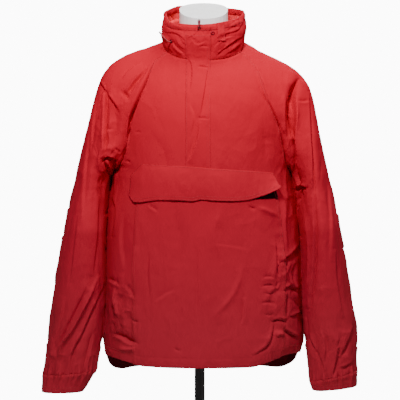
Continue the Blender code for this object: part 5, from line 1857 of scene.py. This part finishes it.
FINISHES = table("""
name                     light   deep    grain depth strength Roughness Metallic Sheen_Weight
sprayed_fibreglass_white #FFFFFF #FBFAF8 1.6   0.05  0.35     0.42      0        0
powder_coat_black        #17171A #0E0E10 0.7   0.08  0.5      0.5       0        0
enamelled_brass_red      #8C2632 #601620 0.5   0.02  0.3      0.34      1        0
moulded_nylon_plum       #8A2440 #6C1A30 0.4   0.03  0.4      0.45      0        0
rubber_grey              #D6C8C6 #C0B0B0 0.4   0.03  0.4      0.6       0        0
painted_zinc_red         #A62A36 #84202B 0.5   0.02  0.3      0.35      0.55     0
moulded_plastic_rose     #8A5458 #6A3C42 0.4   0.02  0.3      0.4       0        0
braided_polyester_red    #BC303C #8E1E2B 0.5   0.15  0.7      0.8       0        0.2
polyester_thread_red     #C0162B #A81024 0.6   0.10  0.6      0.6       0        0.15
""")
(FORM_WHITE, POWDER_BLACK, EYELET_ENAMEL, PULL_NYLON, PULL_RUBBER, SLIDER_PAINT, TIP_PLASTIC,
 CORD_BRAID, THREAD) = (speckled(**row, IOR=1.5) for row in FINISHES)

for name, finish in (("form_torso", FORM_WHITE), ("pole", POWDER_BLACK), ("base", POWDER_BLACK)):
    carried = bpy.data.objects[name]
    if not carried.material_slots:
        carried.data.materials.append(finish)
    for slot in carried.material_slots:
        slot.material = finish
print("finishes:", len(bpy.data.materials))

# %% [markdown]
# ## Small hard parts
# An eyelet is a turned ring with a rolled lip. The slider is a bent channel with a bridge for
# the pull. The pull hangs on that bridge: two legs, a waist, a moulded grip and a rubber tip.

# %% Turned and bevelled pieces
FACE_UP = Matrix.Rotation(math.radians(90.0), 4, "X")
SHARP = math.radians(30.0)        # edges sharper than this are rounded


def frame_along(point, direction):
    """A matrix that puts the origin at a point and +Z along a direction."""
    turn = Vector(direction).to_track_quat("Z", "Y").to_matrix().to_4x4()
    return Matrix.Translation(Vector(point)) @ turn


def turned(name, profile, sides, place, material):
    """A profile of (radius, height) in mm turned about +Z, then put in its place."""
    bm = bmesh.new()
    marks = [bm.verts.new((radius * MM, 0.0, height * MM)) for radius, height in profile]
    edges = [bm.edges.new(pair) for pair in zip(marks, marks[1:])]
    bmesh.ops.spin(bm, geom=marks + edges, axis=(0, 0, 1), cent=(0, 0, 0), steps=sides,
                   angle=2.0 * math.pi)
    bmesh.ops.remove_doubles(bm, verts=bm.verts, dist=0.002 * MM)
    bmesh.ops.recalc_face_normals(bm, faces=bm.faces)
    bmesh.ops.transform(bm, matrix=place, verts=bm.verts)
    return finished(name, bm, material)


def plate(outline, thick, width, point, off=0.0):
    """An outline with a thickness, bevelled, upright, `off` ahead of a point; sizes in mm."""
    bm = bmesh.new()
    thick *= MM
    bottom = bm.faces.new([bm.verts.new((x * MM, y * MM, -thick / 2.0)) for x, y in outline])
    lifted = bmesh.ops.extrude_face_region(bm, geom=[bottom])["geom"]
    moved = [part for part in lifted if isinstance(part, bmesh.types.BMVert)]
    bmesh.ops.translate(bm, verts=moved, vec=(0.0, 0.0, thick))
    bmesh.ops.recalc_face_normals(bm, faces=bm.faces)
    sharp = [edge for edge in bm.edges if edge.calc_face_angle(0.0) > SHARP]
    bmesh.ops.bevel(bm, geom=sharp, offset=width * MM, offset_type="OFFSET", segments=3,
                    profile=0.5, affect="EDGES", clamp_overlap=True)
    place = Matrix.Translation(point + Vector((0.0, -off * MM, 0.0))) @ FACE_UP
    bmesh.ops.transform(bm, matrix=place, verts=bm.verts)
    return bm


def joined(name, parts, materials):
    """One mesh of several meshes in work, each with its material's number."""
    whole = bmesh.new()
    for part, number in parts:
        for face in part.faces:
            face.material_index = number
        loose = bpy.data.meshes.new("loose")
        part.to_mesh(loose)
        part.free()
        whole.from_mesh(loose)
        bpy.data.meshes.remove(loose)
    return finished(name, whole, *materials)


# %% Eyelets
EYELET_PROFILE = [(2.1, 0.1), (2.1, 0.6), (2.3, 0.95), (2.7, 1.1), (3.3, 1.05), (3.9, 0.8),
                  (4.3, 0.4), (4.4, 0.1), (4.2, 0.0), (2.3, 0.0), (2.1, 0.1)]
EYELETS = [
    dict(name="eyelet_cord", place=(-0.06692, -0.05977, 0.98416), out=(-0.706, -0.702, -0.092)),
    dict(name="eyelet_front", place=(0.02582, -0.08373, 1.00197), out=(0.124, -0.982, 0.139)),
]
for row in EYELETS:
    ring = turned("ring_" + row["name"], EYELET_PROFILE, 48,
                  frame_along(row["place"], row["out"]), EYELET_ENAMEL)
    put("ring_" + row["name"], ring, replaced=(row["name"],))
print("eyelets:", len(EYELETS))

# %% [markdown]
# ## Slider and pull
# Sizes are in millimetres, with X across and Y up the slider's face. The pull turns about the
# bridge, so everything of it rides on its own body.

# %% Slider and pull
SLIDER_PLACE = Vector((-0.0043, -0.0846, 1.0146))
HINGE_PLACE = Vector((-0.0043, -0.0888, 1.0168))
SLIDER_SHAPE = [(-2.2, -3.4), (2.2, -3.4), (3.3, -1.2), (3.75, 2.2), (3.2, 3.4), (-3.2, 3.4),
                (-3.75, 2.2), (-3.3, -1.2)]
BRIDGE_SHAPE = [(-3.7, -2.0), (-2.1, -2.0), (-2.1, 3.2), (-3.7, 3.2)]
LEG_SHAPE = [(-1.4, -1.1), (1.4, -1.1), (1.3, 1.2), (2.3, 5.4), (2.9, 8.2), (2.9, 12.6),
             (-2.9, 12.6), (-2.9, 8.2), (-2.3, 5.4), (-1.3, 1.2)]
GRIP_SHAPE = [(-2.4, 7.6), (2.4, 7.6), (3.0, 8.8), (3.0, 12.0), (2.6, 13.0), (-2.6, 13.0),
              (-3.0, 12.0), (-3.0, 8.8)]
TIP_SHAPE = [(-2.6, 12.7), (2.6, 12.7), (3.1, 13.6), (2.9, 15.2), (1.8, 16.3), (-1.8, 16.3),
             (-2.9, 15.2), (-3.1, 13.6)]

bridges = BRIDGE_SHAPE, [(-x, y) for x, y in reversed(BRIDGE_SHAPE)]
slider = joined("slider", [(plate(SLIDER_SHAPE, 2.2, 0.5, SLIDER_PLACE, 1.2), 0)] + [
    (plate(bridge, 3.6, 0.35, SLIDER_PLACE, 3.9), 0) for bridge in bridges], [SLIDER_PAINT])
put("slider_detailed", slider, replaced=("zip_slider",))
pull = joined("pull", [
    (plate(LEG_SHAPE, 1.1, 0.2, HINGE_PLACE), 0),
    (plate(GRIP_SHAPE, 1.9, 0.45, HINGE_PLACE), 1),
    (plate(TIP_SHAPE, 2.0, 0.6, HINGE_PLACE), 2),
], [SLIDER_PAINT, PULL_NYLON, PULL_RUBBER])
put("pull_detailed", pull, body="pull", replaced=("zip_pull",))
print("slider and pull built")

# %% [markdown]
# ## The drawcord's free end
# The cord is a 3 mm braid. It leaves its eyelet straight, droops a little and stands up towards
# the shoulder, stiff enough over its few centimetres to hold itself. Its route is the packed
# one. The braid is a relief of two crossing helices on the tube.

# %% Drawcord
CORD_START = Vector((-0.067277, -0.060122, 0.984119))
CORD_WAY = Vector((-0.70603, -0.70212, -0.09248))
CORD_STRAIGHT = 4.0 * MM
CORD_ROUTE = [(-0.0062, -0.0084, 0.0004), (-0.0102, -0.0116, 0.0034),
              (-0.0146, -0.0128, 0.0080), (-0.0186, -0.0116, 0.0128),
              (-0.0222, -0.0088, 0.0170)]
CORD_POINTS = 22
CORD_RADIUS = 1.5 * MM
CORD_SIDES = 20
CORD_RINGS = 110
BRAID_TURNS = 9
BRAID_STRANDS = 4
BRAID_DEEP = 0.13


def cord_route(count):
    """Points along the cord's smooth route."""
    marks = [Vector(), CORD_WAY * CORD_STRAIGHT] + [Vector(step) for step in CORD_ROUTE]
    keys = [dict(t=n, x=p.x, y=p.y, z=p.z) for n, p in enumerate(marks)]
    places = [read_table(keys, "t", t) for t in np.linspace(0, len(marks) - 1, count + 1)]
    return [CORD_START + Vector([place[axis] for axis in "xyz"]) for place in places]


def braided_tube(name, route, material):
    """A closed tube along a route, with the relief of a braid."""
    bm = bmesh.new()
    side = (route[1] - route[0]).orthogonal().normalized()
    rings = []
    for n, point in enumerate(route):
        ahead = route[min(n + 1, len(route) - 1)] - route[max(n - 1, 0)]
        ahead.normalize()
        side = (side - ahead * side.dot(ahead)).normalized()
        up = ahead.cross(side)
        ring = []
        for k in range(CORD_SIDES):
            angle = 2.0 * math.pi * k / CORD_SIDES
            climb = 2.0 * math.pi * BRAID_TURNS * n / len(route)
            over = math.sin(BRAID_STRANDS * angle + climb)
            under = math.sin(BRAID_STRANDS * angle - climb)
            radius = CORD_RADIUS * (1.0 - BRAID_DEEP * (1.0 - max(over, under)) / 2.0)
            arm = side * math.cos(angle) + up * math.sin(angle)
            ring.append(bm.verts.new(point + arm * radius))
        rings.append(ring)
    for low, high in zip(rings, rings[1:]):
        for k in range(CORD_SIDES):
            m = (k + 1) % CORD_SIDES
            bm.faces.new((low[k], low[m], high[m], high[k]))
    bm.faces.new(reversed(rings[0]))
    bm.faces.new(rings[-1])
    bmesh.ops.recalc_face_normals(bm, faces=bm.faces)
    return finished(name, bm, material)


TIP_PROFILE = [(0.0, 0.0), (1.7, 0.0), (2.0, 0.3), (2.0, 1.2), (1.75, 1.5), (1.75, 1.9),
               (2.0, 2.2), (2.0, 5.2), (1.8, 6.1), (1.2, 6.5), (0.0, 6.5)]
TIP_GAP = 0.3 * MM
route = cord_route(CORD_POINTS)
along = (route[-1] - route[-2]).normalized()
tip = put("cord_end", turned("cord_end", TIP_PROFILE, 32,
                             frame_along(route[-1] + along * TIP_GAP, along), TIP_PLASTIC),
          replaced=("drawcord_tip",))
cord = put("drawcord", braided_tube("drawcord", cord_route(CORD_RINGS), CORD_BRAID),
           replaced=("drawcord_end",))

# %% [markdown]
# ## Stitches, instanced along the seams
# Topstitching is the same small thing a few thousand times over, so Geometry Nodes sets it: each
# seam is a thin polyline a set distance from an edge of its piece, resampled at the stitch's
# pitch, with a short round of thread on every point, turned along the seam.

# %% Lines for the stitches
STITCH_LIFT = 0.12 * MM


def inset_line(rows, edge, inset, start, end):
    """A line on a piece, a set distance inside one of its edges."""
    away = edge_distances(rows)[edge]
    if edge in ("top", "bottom"):
        away, rows = away.T, rows.transpose(1, 0, 2)
    places = np.arange(away.shape[1])
    if away[0, 0] > away[0, -1]:
        away, places = away[:, ::-1], places[::-1]
    line = np.array([np.interp(inset, distances, places) for distances in away])
    low = np.clip(np.floor(line).astype(int), 0, rows.shape[1] - 2)
    t = (line - low)[:, None]
    n = np.arange(len(line))
    flip = 1.0 if edge in ("first", "last") else -1.0
    points = sum(part[n, low] * (1.0 - t) + part[n, low + 1] * t
                 for part in (rows, STITCH_LIFT * flip * grid_normals(rows)))
    return points[int(start * (len(n) - 1)):int(end * (len(n) - 1)) + 1]


# Each row: a piece, its edges, the lines' distances from them in millimetres, and the shares of
# the edge where they start and end. On a panel's sides that is above the underarm.
STITCH_LINES = table("""
piece       edges                 insets  start end
front_panel bottom                21     0     1
back_panel  bottom                21     0     1
front_panel first,last            2.2,8.2 0.62  1
back_panel  first,last            2.2,8.2 0.62  1
cuff_left   bottom                15     0     1
cuff_right  bottom                15     0     1
cuff_left   top                   2      0     1
cuff_right  top                   2      0     1
collar      bottom                2.4    0     1
pouch       first,last            2,8    0     1
flap        bottom,top,first,last 2.5    0     1
flap        bottom                8.5    0.04  0.96
storm       first,last            2.2    0     1
storm       last                  8.2    0     0.86
storm       top                   2.2    0     1
casing      bottom                1.4    0     1
strap       first,last,bottom     1.6    0     1
""")
SEWN = dict(CREASED, pouch=pouch, flap=flap, storm=storm, casing=outside, strap=strap)

lines = [inset_line(SEWN[row["piece"]], edge, float(inset) * MM, row["start"], row["end"])
         for row in STITCH_LINES for inset in str(row["insets"]).split(",")
         for edge in row["edges"].split(",")]
marks = np.concatenate(lines)
ends = np.cumsum([len(line) for line in lines])
links = [(n, n + 1) for n in range(len(marks) - 1) if n + 1 not in set(ends.tolist())]
seam_lines = bpy.data.meshes.new("stitches")
seam_lines.from_pydata(marks.tolist(), links, [])
print("stitch lines:", len(lines), "with", len(marks), "points")

# %% The stitch group
STITCH_PITCH = 3.1 * MM
STITCH_LONG = 2.4 * MM
THREAD_RADIUS = 0.24 * MM
STITCH_SEED = 5

stitcher = bpy.data.node_groups.new("stitcher", "GeometryNodeTree")
stitcher.is_modifier = True
SOCKETS = [("Lines", "Geometry"), ("Pitch", "Float"), ("Stitch", "Float"), ("Thread", "Float"),
           ("Finish", "Material")]
INPUTS = {name: stitcher.interface.new_socket(
    name=name, in_out="INPUT", socket_type="NodeSocket" + kind).identifier
    for name, kind in SOCKETS}
stitcher.interface.new_socket(name="Stitches", in_out="OUTPUT", socket_type="NodeSocketGeometry")
given = node(stitcher, "NodeGroupInput").outputs
curves = node(stitcher, "GeometryNodeMeshToCurve", None, {"Mesh": given["Lines"]})
spaced = node(stitcher, "GeometryNodeResampleCurve", None,
              {"Curve": curves, "Length": given["Pitch"]}, mode="LENGTH")
thread = node(stitcher, "GeometryNodeMeshCylinder", {"Vertices": 5},
              {"Radius": given["Thread"], "Depth": given["Stitch"]})
turned_along = node(stitcher, "FunctionNodeAlignRotationToVector", None,
                    {"Vector": node(stitcher, "GeometryNodeInputTangent")}, axis="Z")
uneven = node(stitcher, "FunctionNodeRandomValue",
              {0: (0.9, 0.9, 0.86), 1: (1.1, 1.1, 1.08), "Seed": STITCH_SEED},
              data_type="FLOAT_VECTOR")
sewn = node(stitcher, "GeometryNodeInstanceOnPoints", None, {
    "Points": spaced, "Instance": thread, "Rotation": turned_along,
    "Scale": uneven.outputs["Value"]})
real = node(stitcher, "GeometryNodeRealizeInstances", None, {"Geometry": sewn})
sewn_up = node(stitcher, "GeometryNodeSetMaterial", None,
               {"Geometry": real, "Material": given["Finish"]})
node(stitcher, "NodeGroupOutput", None, {"Stitches": sewn_up})
print("stitcher nodes:", len(stitcher.nodes))

# %% Sew
carrier = add_object("stitch_lines", seam_lines)
sewing = carrier.modifiers.new("stitcher", "NODES")
sewing.node_group = stitcher
for name, value in (("Pitch", STITCH_PITCH), ("Stitch", STITCH_LONG), ("Thread", THREAD_RADIUS),
                    ("Finish", THREAD)):
    sewing[INPUTS[name]] = value
bpy.context.view_layer.update()
graph = bpy.context.evaluated_depsgraph_get()
thread_mesh = bpy.data.meshes.new_from_object(carrier.evaluated_get(graph))
thread_mesh.name = "stitches"
bpy.data.objects.remove(carrier)
put("stitches", thread_mesh)
print("stitches:", len(thread_mesh.polygons) // 7)

# %% [markdown]
# ## The end
# The dressed model must fill the same room as the imported one. The scene is updated once more.

# %% The end
bpy.context.view_layer.update()
